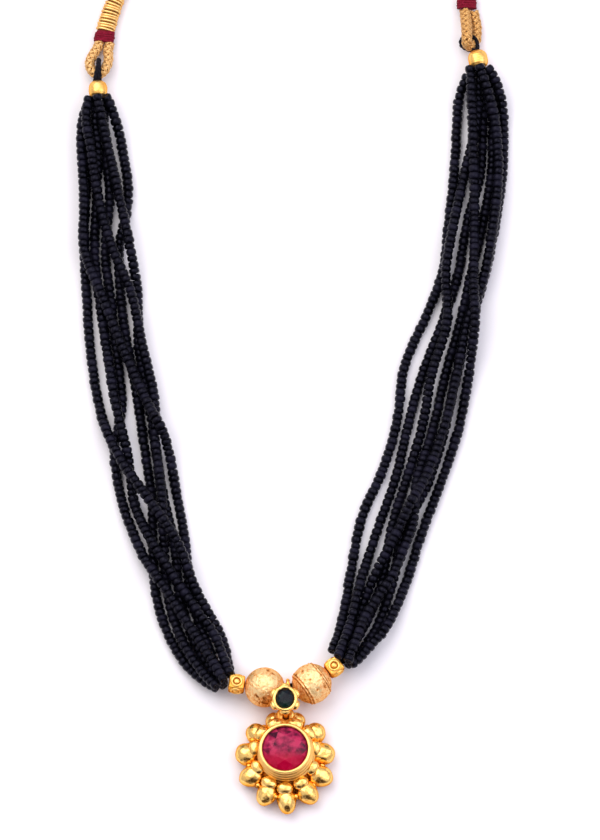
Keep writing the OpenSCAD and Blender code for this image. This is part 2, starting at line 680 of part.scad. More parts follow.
// Strands of seed beads, each a tube along its beads.
module strand(path, rows) {
    color(black_bead) tube(strand_route(path, rows), strand_d, strand_d, strand_sides);
}

// Cords
cord_sides = 8;
module cord(route, n) {
    color(cord_gold) tube(smooth(route, n), cord_d, cord_d, cord_sides);
}

// The binding is a flat bar with round edges, standing on the ends of the cord's eye
// and under the first turn of the wrapping.
module binding(eye, wrap) {
    a = (eye[0] + eye[len(eye) - 1]) / 2;
    axis = unit(wrap[0] - a);
    start = a + 2 * cord_gap * axis;
    legs = eye[len(eye) - 1] - eye[0];
    roll = atan2(legs[2], norm([legs[0], legs[1]]));
    color(crimson)
        translate(start) rotate([0, 0, atan2(axis[1], axis[0]) - 90])
            rotate([asin(axis[2]), 0, 0]) rotate([0, -roll, 0]) {
                for (side = [-1, 1])
                    translate([side * (binding_w - binding_h) / 2, 0, 0])
                        rotate([-90, 0, 0]) cylinder(d = binding_h, h = binding_l);
                translate([-(binding_w - binding_h) / 2, 0, -binding_h / 2])
                    cube([binding_w - binding_h, binding_l, binding_h]);
            }
}

module wire_wrap(route) {
    length = norm(route[len(route) - 1] - route[0]);
    per_row = ceil(2 * length / wrap_pitch / (len(route) - 1));
    color(gold) tube(smooth(route, per_row), wrap_w, wrap_h, 10, wrap_groove);
}

// The sleeve takes both ends of the cord in one bore.
module slide_knot() {
    bore_end = 0.4;
    color(cord_gold)
        translate(sleeve_at) rotate([0, 90, 0])
            difference() {
                union() {
                    cylinder(d = sleeve_d, h = sleeve_l - 1, center = true);
                    cylinder(d = sleeve_d - 0.8, h = sleeve_l, center = true);
                }
                for (side = [-1, 1])
                    translate([0, 0, side * (sleeve_l / 4 + bore_end)])
                        cylinder(d = cord_d + 2 * cord_gap, h = sleeve_l / 2, center = true);
            }
}

pendant_setting();
red_stone();
flower_setting();
green_stone();
ball_left();
ball_right();
spacer_left();
spacer_right();
centre_thread();
top_bead_left();
top_bead_right();
thread_loop_left();
thread_loop_right();
for (k = [1 : 7]) {
    strand(LEFT_PATH, LEFT_STRANDS[k - 1]);
    strand(RIGHT_PATH, RIGHT_STRANDS[k - 1]);
}
cord(LEFT_LOOP, 2);  // cord_loop_left
cord(RIGHT_LOOP, 2);  // cord_loop_right
binding(LEFT_LOOP, LEFT_WRAP);  // red_binding_left
binding(RIGHT_LOOP, RIGHT_WRAP);  // red_binding_right
wire_wrap(LEFT_WRAP);  // wire_wrap_left
wire_wrap(RIGHT_WRAP);  // wire_wrap_right
cord(LEFT_CORD, 2);  // back_cord_left
cord(RIGHT_CORD, 2);  // back_cord_right
slide_knot();
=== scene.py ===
# %% [markdown]
# # A mangalsutra in Blender
# A mangalsutra is a wedding necklace of south Asia: strands of small black glass beads, a few
# gold beads and a gold pendant, closed behind the neck by a cord. This one lies flat.
# The solid model, made in CAD, is loaded first and stays where it is. Every finished piece
# is then worked out with numpy on top of it, in millimetres, and turned into metres when
# its mesh is made.

# %% Load the solid model
import math
import bpy
import numpy as np
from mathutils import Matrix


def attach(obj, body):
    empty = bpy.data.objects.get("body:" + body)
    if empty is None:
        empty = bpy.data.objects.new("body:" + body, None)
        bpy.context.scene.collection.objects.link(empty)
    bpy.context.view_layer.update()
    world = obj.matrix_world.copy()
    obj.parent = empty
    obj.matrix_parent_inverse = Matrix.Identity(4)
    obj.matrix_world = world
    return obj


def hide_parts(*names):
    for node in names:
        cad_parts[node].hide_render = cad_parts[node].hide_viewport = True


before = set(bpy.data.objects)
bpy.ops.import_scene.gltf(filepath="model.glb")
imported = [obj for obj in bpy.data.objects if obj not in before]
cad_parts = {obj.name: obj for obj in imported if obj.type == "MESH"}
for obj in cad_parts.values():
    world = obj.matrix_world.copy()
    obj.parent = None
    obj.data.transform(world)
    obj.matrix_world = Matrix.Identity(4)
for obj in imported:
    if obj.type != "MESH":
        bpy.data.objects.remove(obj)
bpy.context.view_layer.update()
MM = 0.001
UP = (0.0, 0.0, 1.0)

# %% [markdown]
# ## The camera
# The photograph looks down on the necklace from the pendant's side, 75 degrees above the
# table. A long lens from 6 m away gives the flat view that the photograph shows, and its
# picture is 176.4 mm high, which is 0.21 mm a pixel.

# %% Camera
FIELD_HEIGHT = 176.4
CAMERA_FROM = 6000.0
SENSOR = 36.0
ELEVATION = math.radians(75)
look_at = np.array([3.15, 73.98, 3.0])
to_camera = np.array([0, -math.cos(ELEVATION), math.sin(ELEVATION)])
photo_up = np.array([0, math.sin(ELEVATION), math.cos(ELEVATION)])


def in_scene(name, data):
    """A new object that shows some data, put into the scene."""
    thing = bpy.data.objects.new(name, data)
    bpy.context.scene.collection.objects.link(thing)
    return thing


camera_data = bpy.data.cameras.new("camera")
camera_data.sensor_width = SENSOR
camera_data.lens = SENSOR * CAMERA_FROM / FIELD_HEIGHT
camera_data.clip_start = 0.05
camera = in_scene("camera", camera_data)
camera.location = (look_at + to_camera * CAMERA_FROM) * MM
camera.rotation_euler = (math.pi / 2 - ELEVATION, 0, 0)
bpy.context.scene.camera = camera
print("lens", round(camera_data.lens, 1), "mm")

# %% [markdown]
# ## Lines in space
# A strand, a cord and a wire are each a line with something carried along it. A smooth
# line through a few chosen points needs only those points, and the same formula made the
# solids, so beads and cords lie exactly where the CAD tubes are.

# %% Smooth lines
def at_station(points, s):
    """Point at station s, where s counts the given points from 0. Between two neighbours the
    line is a cubic, and its slope at each of them is half the step from the point before
    to the point after."""
    p = np.asarray(points, float)
    s = np.atleast_1d(np.asarray(s, float))
    i = np.clip(np.floor(s).astype(int), 0, len(p) - 2)
    f = (s - i)[:, None]
    a, b, c = p[np.maximum(i - 1, 0)], p[i], p[i + 1]
    d = p[np.minimum(i + 2, len(p) - 1)]
    return (2 * b + (c - a) * f + (2 * a - 5 * b + 4 * c - d) * f**2
            + (3 * b - a - 3 * c + d) * f**3) / 2


def smooth(points, per_gap=12):
    """The line through all the points, with per_gap short steps from each to the next."""
    return at_station(points, np.linspace(0, len(points) - 1, (len(points) - 1) * per_gap + 1))


def unit(v):
    """Each vector divided by its own length."""
    v = np.asarray(v, float)
    return v / np.maximum(np.linalg.norm(v, axis=-1, keepdims=True), 1e-12)


def lengths_along(line):
    """Distance from the start to each point of a line, summed over its short steps."""
    steps = np.linalg.norm(np.diff(line, axis=0), axis=1)
    return np.concatenate([[0], np.cumsum(steps)])


def at_length(line, s, carried=None):
    """Points of a line at the distances s from its start, or the vectors that it carries
    there, both straight between two neighbours."""
    v = line if carried is None else carried
    total = lengths_along(line)
    return np.column_stack([np.interp(s, total, v[:, k]) for k in range(3)])


def even(line, step):
    """The same line with its points about step apart."""
    total = lengths_along(line)[-1]
    return at_length(line, np.linspace(0, total, max(2, round(total / step)) + 1))


def square_to(ahead, up=UP):
    """Two directions square to one: the side, which is it crossed with up, and the rise,
    which is the side crossed with it."""
    side = unit(np.cross(ahead, up))
    return side, np.cross(side, ahead)


def frames(line, closed=False, up=UP):
    """Direction, side and rise at each point of a line. The direction runs from the point
    before to the point after."""
    if closed:
        step = np.roll(line, -1, axis=0) - np.roll(line, 1, axis=0)
    else:
        step = np.gradient(line, axis=0)
    ahead = unit(step)
    return ahead, *square_to(ahead, up)


# %% [markdown]
# ## Rings
# A section of a tube, a turn of wire and a row of a bead are all rings: even steps of an
# angle, with its cosine going one way and its sine the other.

# %% Rings
def full_turn(count):
    """So many angles in even steps round a full turn, in radians."""
    return np.linspace(0, 2 * np.pi, count, endpoint=False)


def on_ring(a, side, rise):
    """Points at angles a: cos a times one vector plus sin a times the other."""
    return np.cos(a)[..., None] * side + np.sin(a)[..., None] * rise


def oval(at, u, v, count):
    """A closed oval line round a place, with u and v as its two half-axes."""
    return np.asarray(at, float) + on_ring(full_turn(count), np.asarray(u), np.asarray(v))


def tube(line, width, height, sides=12, closed=False, up=UP):
    """Grid of a tube round a line: the point at angle a stands half the width times cos a to
    the side and half the height times sin a up."""
    _, side, rise = frames(line, closed, up)
    w, h = (np.broadcast_to(v, len(line))[:, None, None] / 2 for v in (width, height))
    return line[:, None] + on_ring(full_turn(sides), w * side[:, None], h * rise[:, None])


def turned(profile, at, axis, sides=32, up=UP):
    """Grid of a turned shape: each profile point gives a distance along the axis and the
    radius of the ring there."""
    axis = unit(axis)
    ring = on_ring(full_turn(sides), *square_to(axis, up))
    profile = np.asarray(profile, float)
    return np.asarray(at, float) + profile[:, :1, None] * axis + profile[:, 1:, None] * ring


# %% [markdown]
# ## Skins
# Every shape here is a grid of points: its rows are rings, and each ring is closed on
# itself. Rows may close too, as in a bead with a hole. One function joins the grid into
# faces and turns them outwards, by the sign of the volume that they enclose.

# %% Skins of rings
def grid_faces(rows, columns, wrap):
    """Four corners of each face of a grid: this ring's point, the next point on the ring, and
    the same two on the next ring."""
    i, j = np.meshgrid(np.arange(rows if wrap else rows - 1), np.arange(columns), indexing="ij")
    here, there = i * columns, (i + 1) % rows * columns
    on = (j + 1) % columns
    return np.stack([here + j, here + on, there + on, there + j], axis=-1).reshape(-1, 4)


def volume(points, faces):
    """Volume inside a closed skin: a sixth of each triangle's three corners multiplied
    together as a box product, summed."""
    total = 0.0
    for f in faces:
        for k in range(1, f.shape[1] - 1):
            a, b, c = points[f[:, 0]], points[f[:, k]], points[f[:, k + 1]]
            total += np.einsum("ij,ij->i", a, np.cross(b, c)).sum() / 6
    return total


def skin(grid, wrap=False):
    """Closed skin over a grid of rings, as points and arrays of face corners. Where the rows
    don't close on themselves, each end ring is closed by a fan to its own middle point."""
    rows, columns = grid.shape[:2]
    points = grid.reshape(-1, 3)
    faces = [grid_faces(rows, columns, wrap)]
    if not wrap:
        n = rows * columns
        points = np.vstack([points, grid[0].mean(0), grid[-1].mean(0)])
        j = np.arange(columns)
        k = (j + 1) % columns
        first = np.stack([np.full(columns, n), k, j], -1)
        last = np.stack([np.full(columns, n + 1), n - columns + j, n - columns + k], -1)
        faces.append(np.vstack([first, last]))
    if volume(points - points.mean(0), faces) < 0:
        faces = [f[:, ::-1] for f in faces]
    return points, faces


def lathe(profile, at, sides):
    """Skin of a shape turned round the upright line through a place, from a closed profile
    of (radius, height) pairs."""
    heights_first = np.asarray(profile, float)[:, ::-1]
    return skin(turned(heights_first, at, UP, sides, (0, -1, 0)), True)


# %% [markdown]
# ## From arrays to objects
# A mesh is filled with whole arrays at once. A piece is one mesh of several skins, because
# its parts don't move apart. It rides on the necklace's one body, names the CAD node that
# it stands for, and carries its finishes.

# %% Make a piece
def make_piece(made, node, skins, materials, tones=None, last=0):
    """A mesh object from skins in mm, named by how it was made and by its CAD node. The last
    few skins take the second material. tones gives each skin's tone, as one number or as
    one for each of its points."""
    mesh = bpy.data.meshes.new(f"{made}_{node}")
    faces, second, start = [], [], 0
    for k, (p, arrays) in enumerate(skins):
        for f in arrays:
            faces.append(f + start)
            second.append(np.full(len(f), k >= len(skins) - last))
        start += len(p)
    points = np.vstack([p for p, _ in skins]) * MM
    corners = np.concatenate([f.ravel() for f in faces])
    sizes = np.concatenate([np.full(len(f), f.shape[1]) for f in faces])
    for material in materials:
        mesh.materials.append(material)
    mesh.vertices.add(len(points))
    mesh.loops.add(len(corners))
    mesh.polygons.add(len(sizes))
    for rows, key, values, kind in (
            (mesh.vertices, "co", points.ravel(), np.float32),
            (mesh.loops, "vertex_index", corners, np.int32),
            (mesh.polygons, "loop_start", np.cumsum(sizes) - sizes, np.int32),
            (mesh.polygons, "use_smooth", np.ones(len(sizes)), bool),
            (mesh.polygons, "material_index", np.concatenate(second), np.int32)):
        rows.foreach_set(key, values.astype(kind))
    if tones:
        values = [np.broadcast_to(t, len(p)) for t, (p, _) in zip(tones, skins)]
        mesh.attributes.new("tone", "FLOAT", "POINT").data.foreach_set(
            "value", np.concatenate(values).astype(np.float32))
    mesh.update(calc_edges=True)
    piece = in_scene(f"{made}_{node}", mesh)
    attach(piece, "root")
    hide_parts(node)
    print(piece.name, "made of", int((sizes - 2).sum()), "triangles")
    return piece


# %% [markdown]
# ## Finishes
# A finish is a small graph of shader nodes. One function adds a node, sets it up and links
# its inputs, and one turns a colour written as hex into Blender's linear light.

# %% Node and colour helpers
def colour(text):
    """A hex sRGB colour as linear light: below 0.04045 a value is divided by 12.92, above it
    0.055 is added, the sum divided by 1.055 and raised to the power 2.4."""
    v = np.array([int(text[i:i + 2], 16) for i in (1, 3, 5)]) / 255
    v = np.where(v <= 0.04045, v / 12.92, ((v + 0.055) / 1.055) ** 2.4)
    return (*v.tolist(), 1.0)


def add(tree, kind, links=None, stops=(), **settings):
    """Adds one shader node: its settings, its inputs, and the stops of its colour ramp as
    (place, hex) pairs. An input is a value, another node's output, or a node, which stands
    for its first output."""
    node = tree.nodes.new("ShaderNode" + kind)
    for name, value in settings.items():
        setattr(node, name, value)
    for name, value in (links or {}).items():
        if isinstance(value, bpy.types.Node):
            value = value.outputs[0]
        if isinstance(value, bpy.types.NodeSocket):
            tree.links.new(value, node.inputs[name])
        else:
            node.inputs[name].default_value = value
    for k, (place, text) in enumerate(stops):
        ramp = node.color_ramp
        stop = ramp.elements[k] if k < 2 else ramp.elements.new(place)
        stop.position = place
        stop.color = colour(text)
    return node


def new_finish(name):
    """An empty material: returns it, its tree and the place on the object in metres."""
    material = bpy.data.materials.new(name)
    material.use_nodes = True
    tree = material.node_tree
    tree.nodes.clear()
    return material, tree, add(tree, "TexCoord").outputs["Object"]


# %% [markdown]
# ### Gold
# High-karat gold is a deep yellow metal. On the pendant it was cast or stamped, filed and
# polished by hand, so it has soft dents a millimetre or so apart, and old polish stays
# brown in its hollows. The balls are frosted: their surface is beaten full of tiny pits.
# All four golds share one graph, so that they differ only by a few numbers: colour by age
# and by painted shade, which browns undersides and the gaps between parts, roughness, and
# the size and depth of dents and grain.

# %% Gold finishes
def gold_finish(name, colours, rough, cloud_mm, dent, grain, speck):
    """Gold through a ramp of colours by its age and painted shade: each point's tone, which holds
    both, plus 0.7 of a cloudy noise, plus a share of the fine grain, less a step that keeps the
    middle in place. Age and shade also raise the roughness. Dents and grain are each a size and
    a depth in mm, and both tilt the surface. Gold stays orange where it is seen at a low angle."""
    material, tree, place = new_finish(name)
    tone = add(tree, "Attribute", attribute_name="tone").outputs["Fac"]
    cloud, fine, dents = (
        add(tree, "TexNoise", {"Vector": place, "Scale": 1 / (size * MM), "Detail": detail,
                               "Roughness": mix})
        for size, detail, mix in ((cloud_mm, 3.0, 0.5), (grain[0], 3.0, 0.65), (dent[0], 1.0, 0.5)))
    age_and_shade = add(tree, "Math", {0: cloud, 1: 0.7, 2: tone}, operation="MULTIPLY_ADD")
    age_and_shade = add(tree, "Math", {0: fine, 1: speck, 2: age_and_shade}, operation="MULTIPLY_ADD")
    age_and_shade = add(tree, "Math", {0: age_and_shade, 1: 0.35 + speck / 2}, operation="SUBTRACT")
    tint = add(tree, "ValToRGB", {"Fac": age_and_shade}, colours)
    worn = add(tree, "MapRange", {"Value": age_and_shade, "From Min": 0.0, "From Max": 0.8,
                                  "To Min": rough[0], "To Max": rough[1]})
    bump = add(tree, "Bump", {"Height": dents, "Strength": 1.0, "Distance": dent[1] * MM})
    bump = add(tree, "Bump", {"Height": fine, "Strength": 1.0, "Distance": grain[1] * MM,
                              "Normal": bump})
    surface = add(tree, "BsdfPrincipled", {
        "Base Color": tint, "Metallic": 1.0, "Specular Tint": colour("#e8a458"),
        "Roughness": worn, "Normal": bump})
    add(tree, "OutputMaterial", {"Surface": surface})
    return material


# Hammered and polished by hand: bright faces, soft dents 1.3 mm apart, brown in the hollows
# from old polish and from painted shade.
polished_gold = gold_finish(
    "hand_polished_gold",
    [(0.0, "#ffd27c"), (0.35, "#fcba52"), (0.65, "#d88c34"), (1.0, "#6a3c12")],
    rough=(0.24, 0.46), cloud_mm=1.8, dent=(1.3, 0.22), grain=(0.4, 0.03), speck=0.4)
# Cast: the cubes, the round beads and the collar, smoother, so that rings and dots stay crisp.
cast_gold = gold_finish(
    "cast_gold", [(0.0, "#ffd480"), (0.35, "#f3b252"), (0.7, "#bc7828"), (1.0, "#5e3410")],
    rough=(0.36, 0.55), cloud_mm=1.8, dent=(1.0, 0.08), grain=(0.4, 0.015), speck=0.35)
# Frosted: a grain of 0.55 mm, coarser than the real one so that it shows, breaks the gloss,
# and the smooth caps and hollows are older and more orange.
frosted_gold = gold_finish(
    "frosted_gold", [(0.0, "#ffe0a6"), (0.3, "#fcc788"), (0.6, "#e39e56"), (1.0, "#8e5224")],
    rough=(0.46, 0.6), cloud_mm=2.4, dent=(1.0, 0.12), grain=(0.55, 0.3), speck=2.5)
# Drawn wire: smooth, a little paler than the cast gold.
wire_gold = gold_finish(
    "drawn_gold_wire", [(0.0, "#f4cc84"), (0.4, "#e4ae5c"), (0.8, "#b0722a"), (1.0, "#6a3c14")],
    rough=(0.4, 0.55), cloud_mm=2.0, dent=(1.2, 0.04), grain=(0.4, 0.01), speck=0.5)
print("four golds")


def shade_below(points, top, bottom, most):
    """Painted shade of points by their height: none above top, the most below bottom, smooth
    between.
    """
    f = np.clip((top - points[:, 2]) / (top - bottom), 0, 1)
    return most * f * f * (3 - 2 * f)


# %% [markdown]
# ### Glass beads
# The seed beads are pressed black glass, a little uneven, with a satin gloss and a breath
# of violet. Each one carries its own tone, so no two reflect quite alike. Fire and handling
# have dulled their skin, so the specular level is well under that of clean glass.

# %% Black glass
def bead_finish():
    """Black glass: each bead's tone moves its colour from black to violet grey and its gloss
    from shiny to satin, and a noise of 0.5 mm dulls small patches."""
    material, tree, place = new_finish("satin_black_glass")
    tone = add(tree, "Attribute", attribute_name="tone").outputs["Fac"]
    patch = add(tree, "TexNoise", {"Vector": place, "Scale": 1 / (0.5 * MM), "Detail": 2.0})
    tint = add(tree, "ValToRGB", {"Fac": tone},
               [(0.0, "#030307"), (0.7, "#07070d"), (1.0, "#12111d")])
    both = add(tree, "Math", {0: tone, 1: patch}, operation="ADD")
    gloss = add(tree, "MapRange", {"Value": both, "From Min": 0.4, "From Max": 1.6,
                                   "To Min": 0.2, "To Max": 0.42})
    bump = add(tree, "Bump", {"Height": patch, "Strength": 0.6, "Distance": 0.03 * MM})
    surface = add(tree, "BsdfPrincipled", {
        "Base Color": tint, "Roughness": gloss, "Specular IOR Level": 0.19,
        "Specular Tint": colour("#c4c2ee"), "Normal": bump})
    add(tree, "OutputMaterial", {"Surface": surface})
    return material


black_glass = bead_finish()

# %% [markdown]
# ### Thread and cord
# Thread is spun from fibres finer than the picture shows, so their pattern is drawn at
# 0.22 to 0.3 mm. It has hardly any gloss, unless metal foil is spun round it.

# %% Thread and cord finishes
def fibre_finish(name, colours, rough, metal, sheen, fibre_mm):
    """Thread: a noise as coarse as its fibres are drawn, less 0.3 of each point's tone, picks
    a colour from dark to light, and the noise tilts the surface. Tone is painted shade, high
    deep in a braid."""
    material, tree, place = new_finish(name)
    tone = add(tree, "Attribute", attribute_name="tone").outputs["Fac"]
    fibres = add(tree, "TexNoise", {"Vector": place, "Scale": 1 / (fibre_mm * MM), "Detail": 3.0,
                                    "Roughness": 0.7})
    depth = add(tree, "Math", {0: tone, 1: -0.3, 2: fibres}, operation="MULTIPLY_ADD")
    tint = add(tree, "ValToRGB", {"Fac": depth}, colours)
    bump = add(tree, "Bump", {"Height": fibres, "Strength": 1.0, "Distance": 0.03 * MM})
    surface = add(tree, "BsdfPrincipled", {
        "Base Color": tint, "Roughness": rough, "Metallic": metal, "Specular IOR Level": 0.2,
        "Sheen Weight": sheen, "Sheen Roughness": 0.4, "Normal": bump})
    add(tree, "OutputMaterial", {"Surface": surface})
    return material


# Waxed cotton, nearly black, with a plum cast.
black_thread = fibre_finish(
    "black_cotton_thread", [(0.3, "#05040a"), (0.5, "#0c0914"), (0.72, "#1a1626")],
    rough=0.85, metal=0.0, sheen=0.03, fibre_mm=0.25)
# Gold-coloured metal foil spun round a yellow core: half a metal, with bright flecks, and
# painted shade where one thread goes under another.
zari_cord = fibre_finish(
    "spun_gold_thread", [(0.06, "#6e4620"), (0.3, "#c08a4a"), (0.5, "#dfb272"), (0.68, "#fde6bc")],
    rough=0.38, metal=0.5, sheen=0.1, fibre_mm=0.22)
# The painted shade between the cord's threads, on a core under them.
core_in_shade = fibre_finish(
    "cord_core_painted_shade", [(0.3, "#62401e"), (0.5, "#7e5228"), (0.72, "#9a6834")],
    rough=0.8, metal=0.0, sheen=0.1, fibre_mm=0.3)
# Crimson cotton, wound round and fuzzy.
crimson_thread = fibre_finish(
    "crimson_cotton_thread", [(0.3, "#560016"), (0.5, "#780422"), (0.72, "#961c3c")],
    rough=0.85, metal=0.0, sheen=0.05, fibre_mm=0.3)
print("bead, thread and cord finishes")

# %% [markdown]
# ## The free cord behind the neck
# The cord is a round braid of eight gold threads: four run clockwise and four the other
# way, each over one and under the next. Real threads are modelled, because a bump would
# not catch the light along their edges. The cord's line is the same as the CAD one's.

# %% Braided cord
CORD_D = 2.0
BRAID_REPEAT = 5.4
PLY_SHARE = 0.21
FOIL_SIDES = 6


def braid(line, d):
    """Eight carriers round a line, each of two thin plies side by side. Carrier k of a hand
    stands at angle k quarter turns plus or minus a full turn each repeat, and its distance
    from the middle swings in and out four times a repeat, opposite for the two hands. The
    thickness may be a pair, one for each end. Returns skins, the core last, and tones of
    painted shade."""
    line = even(line, 0.2)
    s = lengths_along(line)
    _, side, rise = frames(line)
    d = np.interp(s, [0, s[-1]], np.broadcast_to(d, 2))
    ply = d * PLY_SHARE
    middle = d / 2 - ply / 2
    t = full_turn(FOIL_SIDES)
    skins, tones = [], []
    for hand in (-1, 1):
        over = hand * np.cos(8 * np.pi * s / BRAID_REPEAT)
        radius = (middle + 0.28 * ply * over)[:, None]
        # Painted shade: deep and turned inwards is dark, and so are the two points that close the
        # ends.
        tone = 0.5 * (1 - over[:, None]) / 2 + 0.6 * (1 - np.sin(t)) / 2
        for k in range(8):
            lean = (k % 2 - 0.5) * 0.92 * ply / middle
            a = k // 2 * np.pi / 2 + hand * 2 * np.pi * s / BRAID_REPEAT + lean
            out = on_ring(a, side, rise)
            path = line + radius * out
            across = unit(np.cross(out, unit(np.gradient(path, axis=0))))
            wide, high = 0.6 * ply[:, None] * across, 0.42 * ply[:, None] * out
            skins.append(skin(path[:, None] + on_ring(t, wide[:, None], high[:, None])))
            tones.append(np.append(tone, [1.0, 1.0]))
    skins.append(skin(tube(line, d - 2.4 * ply, d - 2.4 * ply, 10)))
    return skins, tones + [1.0]


LEFT_CORD = [[-33.25, 172.1, 1.4], [-32.6, 174.6, 1.2], [-32.1, 178, 1.1], [-31.1, 182.4, 1.1],
    [-29.4, 187.2, 1.1], [-27, 191.8, 1.1], [-24, 196, 1.1], [-20.3, 199.8, 1.1],
    [-16.2, 202.9, 1.2], [-11.8, 205.3, 1.4], [-7.6, 206.9, 1.7], [-4, 207.6, 1.9],
    [-0.2, 207.6, 1.9]]
RIGHT_CORD = [[34.75, 180.4, 1.4], [34, 183.2, 1.2], [32.7, 187.4, 1.1], [30.8, 191.5, 1.1],
    [28.2, 195.5, 1.1], [24.9, 199.1, 1.1], [21, 202.3, 1.1], [16.7, 204.8, 1.2],
    [12.6, 206.4, 1.4], [9.4, 207.2, 1.7], [6, 207.6, 1.9], [2.2, 207.6, 1.9]]
for name, points in (("back_cord_left", LEFT_CORD), ("back_cord_right", RIGHT_CORD)):
    line = smooth(points, 8)
    skins, tones = braid(line, CORD_D)
    piece = make_piece("braided", name, skins, [zari_cord, core_in_shade], tones, 1)
    print(name, "is", round(float(lengths_along(line)[-1]), 1), "mm long")

# %% [markdown]
# ## The strands of seed beads
# Each side has seven strands that lie over and under each other. The tables below say how
# a strand runs: it starts in a ring of strands under the round gold bead, passes rows
# of [station, steps across, steps up], and ends in a ring at the cube bead. A ring's place
# is its steps out from the middle and its angle, and at the lower end also its station.

# %% Strand tables
LEFT_PATH = [[-39.4, 143.4], [-38.5, 133.5], [-38, 122.5], [-37.5, 111.5], [-36.5, 101],
    [-35.5, 90], [-33.5, 79], [-31, 68], [-28.5, 57.5], [-26, 46.5], [-22.5, 35.5], [-18, 25],
    [-13.1, 17.1]]
RIGHT_PATH = [[41.05, 149.9], [40.95, 139], [40.3, 128], [39.1, 117], [37.5, 106], [35.5, 95],
    [32.5, 84], [29.5, 73], [26, 62], [22.5, 51.5], [19.5, 41], [16.5, 31], [12.4, 22]]
LEFT_STRANDS = [
    [[1, 150], [[0.5, -1.35, 1.7], [1, -1.15, 1.7], [2, -0.6, 1.25], [3, 0.5, 1.25], [4, 1.9, 1.25],
     [5, 2.5, 1.1], [6, 2.7, 0.9], [6.5, 2.35, 0.95], [7, 1.8, 1], [8, 1.2, 1.05], [8.5, 0.75, 0.9],
     [9, 0.3, 0.2], [10, -0.85, 0], [11, -1.2, 0.9]], [1, 150, 12]],
    [[1, 90], [[0.5, 0.2, 1.8], [1, 0.5, 1.25], [2, 1.4, 1.15], [3, 2.2, 1.3], [4, 2.5, 0.1],
     [5, 2.15, 0], [6, 2.2, 0], [6.5, 2, 0], [7, 1.75, 0], [8, 1.35, 0], [9, 1.35, 0],
     [10, 0.25, 0], [11, -0.2, 0]], [1, 270, 12]],
    [[1, 30], [[0.5, 1.5, 0.9], [1, 1.9, 0.3], [2, 2.25, 0.2], [3, 1.2, 0.1], [4, 0.9, 0.1],
     [5, 1.1, 0.05], [6, 1.15, 0], [7, 0.7, 0], [8, 0.25, 0], [8.5, -0.2, 0], [9, -0.8, 0],
     [10, -1.95, 0], [11, -2, 0.1]], [1, 210, 12]],
    [[1, 210], [[0.5, -1.7, 0.75], [1, -2, 1], [2, -1.95, 1.05], [3, -2.15, 1.05], [4, -0.9, 1.3],
     [5, 0.55, 1.15], [6, 1.65, 1.3], [6.5, 2.2, 1.95], [6.8, 2.65, 1.75], [7.2, 2.85, 0.6],
     [8, 2.65, 0], [9, 2.4, 0], [10, 1.3, 0], [10.5, 1.05, 0.2], [11, 0.8, 0.6]], [0, 0, 12]],
    [[0, 0], [[0.5, -0.45, 0.95], [1, -0.45, 0.75], [2, -0.75, 0.1], [3, -1.15, 0.1],
     [4, -1.15, 0.15], [5, -0.9, 0.5], [6, -1.05, 1], [7, -1.05, 0.9], [7.4, -1.2, 0.3],
     [8, -1.5, 0.1], [8.5, -1.2, 0.75], [9, -0.55, 1.1], [10, 0.8, 1.1], [10.5, 1.3, 1.3],
     [11, 1.75, 1.25]], [1, 30, 11.85]],
    [[1, 270], [[0.5, -0.85, 0], [1, -1.3, 0.1], [2, -1.8, 0], [3, -2.15, 0], [4, -2.35, 0],
     [5, -2.45, 0], [6, -2.6, 0], [6.5, -2.5, 0.6], [7, -2.05, 1.15], [7.4, -1.5, 1.5],
     [8, -0.4, 1.9], [9, 1.55, 1.7], [10, 1.9, 0.95], [11, 2.35, 0.3]], [1.16, 332, 11.85]],
    [[1, 330], [[0.5, 0.45, 0.05], [1, 0.3, 0], [2, 0.5, 0.3], [3, -0.15, 0.1], [4, -0.1, 0.1],
     [5, 0, 0.05], [6, -0.35, 0], [6.5, -1.25, 0], [7, -2.25, 0], [8, -2.6, 0], [9, -1.9, 0.5],
     [9.5, -1.3, 1.15], [10, -0.6, 1.1], [11, 0.2, 1.6]], [1, 90, 12]]]
